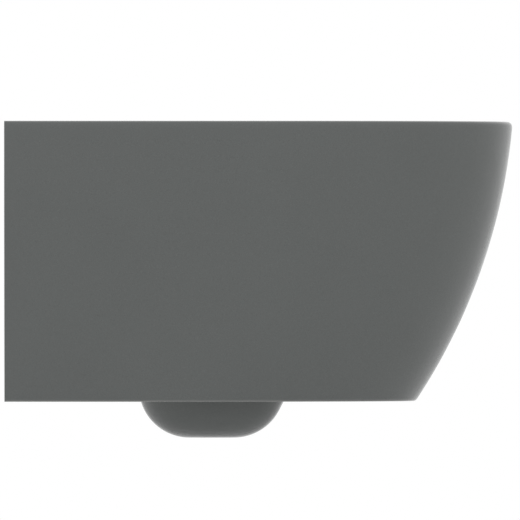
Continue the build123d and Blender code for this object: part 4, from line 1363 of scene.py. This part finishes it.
# %% Gasket
GASKET_R, GASKET_BORE, GASKET_FLAT = 23.0, 17.0, 18.1
GASKET_BACK, GASKET_FRONT, GASKET_EDGE, LEAST_WIDTH = 141.6, 143.4, 0.3, 0.4
down_reach = (INLET_Z - GASKET_FLAT) / np.maximum(1e-6, -np.cos(angle))
edge = np.where(np.cos(angle) < 0, np.minimum(GASKET_R, down_reach), GASKET_R)
inner_edge = np.minimum(GASKET_BORE, edge - LEAST_WIDTH)
gasket_radius = np.array([inner_edge, edge - 0.2, edge, edge, edge - 0.2, inner_edge])
back_rows = [GASKET_BACK, GASKET_BACK, GASKET_BACK + GASKET_EDGE]
gasket_depth = back_rows + [GASKET_FRONT - GASKET_EDGE, GASKET_FRONT, GASKET_FRONT]
gasket_rings = turned(gasket_radius, gasket_depth, (0, 0, INLET_Z), FORWARD, len(angle))
gasket_mesh = merged("gasket", [grid(gasket_rings, True, True)])
piece("gasket", gasket_mesh, "pan", ["distributor_gasket"], soft_rubber)

# %% [markdown]
# ## Step 16: light, floor and camera
#
# The photograph is a plain catalogue picture: white all round, so the glaze shows its own
# colour, and only its edges, seen at a grazing angle, turn bright. A pale world gives that
# without a single lamp. Its diffuse light is a little brighter overhead, as under a soft box,
# and dimmer beside the object than in front of it and behind it, which lets the rounded front
# fall off as it does in the photograph.
#
# Rays from the camera see plain white instead, and so do rays that metal, glaze or glass send
# on, because the background should look the same in a reflection.
#
# The floor is a pale sheet below the pan that catches a soft shadow. Its material is clear from
# underneath, so that the pan can be looked at from below.

# %% World
ROOM = ((0.0, 1.05), (0.52, 1.05), (0.63, 0.52), (0.76, 0.52), (0.90, 1.0), (1.0, 1.0))
OVERHEAD = (0.95, 1.22)
scene = bpy.context.scene
scene.view_settings.view_transform = "Standard"
world = bpy.data.worlds.new("studio")
scene.world = world
world.use_nodes = True
tree = world.node_tree
looking = add(tree, "TexCoord", {}).outputs["Generated"]
heading = add(tree, "SeparateXYZ", {"Vector": looking}).outputs
room = add(tree, "ValToRGB", {"Fac": remap(tree, heading[0], -1.0, 1.0, 0.0, 1.0)})
stops = room.color_ramp.elements
for place, _ in ROOM[1:-1]:
    stops.new(place)
for stop, (_, light) in zip(stops, ROOM):
    stop.color = (light, light, light, 1)
lit = {0: room.outputs["Color"], "Scale": remap(tree, heading[2], 0.15, 0.85, *OVERHEAD)}
soft_light = add(tree, "VectorMath", lit, operation="SCALE").outputs[0]
print("light from the photographer's side to the far side:", [round(s.color[0], 2) for s in stops])

# %% What camera, metal and glass see
rays = add(tree, "LightPath", {}).outputs
seen = rays["Is Camera Ray"]
for ray in ("Is Glossy Ray", "Is Transmission Ray"):
    seen = math(tree, "MAXIMUM", seen, rays[ray])
wire(tree, tree.nodes["Background"], Color=mixed(tree, seen, soft_light, (1, 1, 1)))
print("world nodes:", len(tree.nodes))

# %% Floor
FLOOR_Z, FLOOR_R = -430.0, 4200.0
rings = turned([40, 400, 1200, FLOOR_R], [0, 0, 0, 0], (0, -270, FLOOR_Z), UP)
floor_mesh = merged("floor", [grid(rings, wrap_columns=True), cap(rings[0])])
if floor_mesh.polygons[0].normal.z < 0:
    floor_mesh.flip_normals()
floor = bpy.data.objects.new("floor", floor_mesh)
scene.collection.objects.link(floor)
paper, tree, shader, where = new_finish("floor_paper", (0.9, 0.9, 0.9), 0.9)
tint = mixed(tree, noise(tree, where, 400, 3), (0.89, 0.89, 0.89), (0.91, 0.91, 0.91))
wire(tree, shader, Base_Color=tint)
relief(tree, shader, noise(tree, where, 3, 3), 0.05)
underneath = add(tree, "NewGeometry", {}).outputs["Backfacing"]
clear = add(tree, "BsdfTransparent", {}).outputs[0]
one_sided = add(tree, "MixShader", {0: underneath, 1: shader.outputs[0], 2: clear}).outputs[0]
tree.links.new(one_sided, tree.nodes["Material Output"].inputs["Surface"])
floor_mesh.materials.append(paper)
print("floor height:", FLOOR_Z, "mm")

# %% [markdown]
# The camera looks straight at the pan's left side through a very long lens, because the picture
# shows next to no perspective. A lens that sees a field of one width from a distance follows
# distance = field * lens / sensor width.

# %% Camera
lens_data = bpy.data.cameras.new("camera")
lens_data.lens, lens_data.sensor_width, lens_data.clip_end = 1600.0, 36.0, 80.0
camera = bpy.data.objects.new("camera", lens_data)
scene.collection.objects.link(camera)
FIELD, AIM_DEPTH, AIM_Z = 0.5541, 0.2707, -0.0673
camera.location = (-FIELD * lens_data.lens / lens_data.sensor_width, -AIM_DEPTH, AIM_Z)
camera.rotation_euler = (radians(90), 0, radians(-90))
scene.camera = camera
print("camera stands", round(-camera.location.x, 2), "m away")
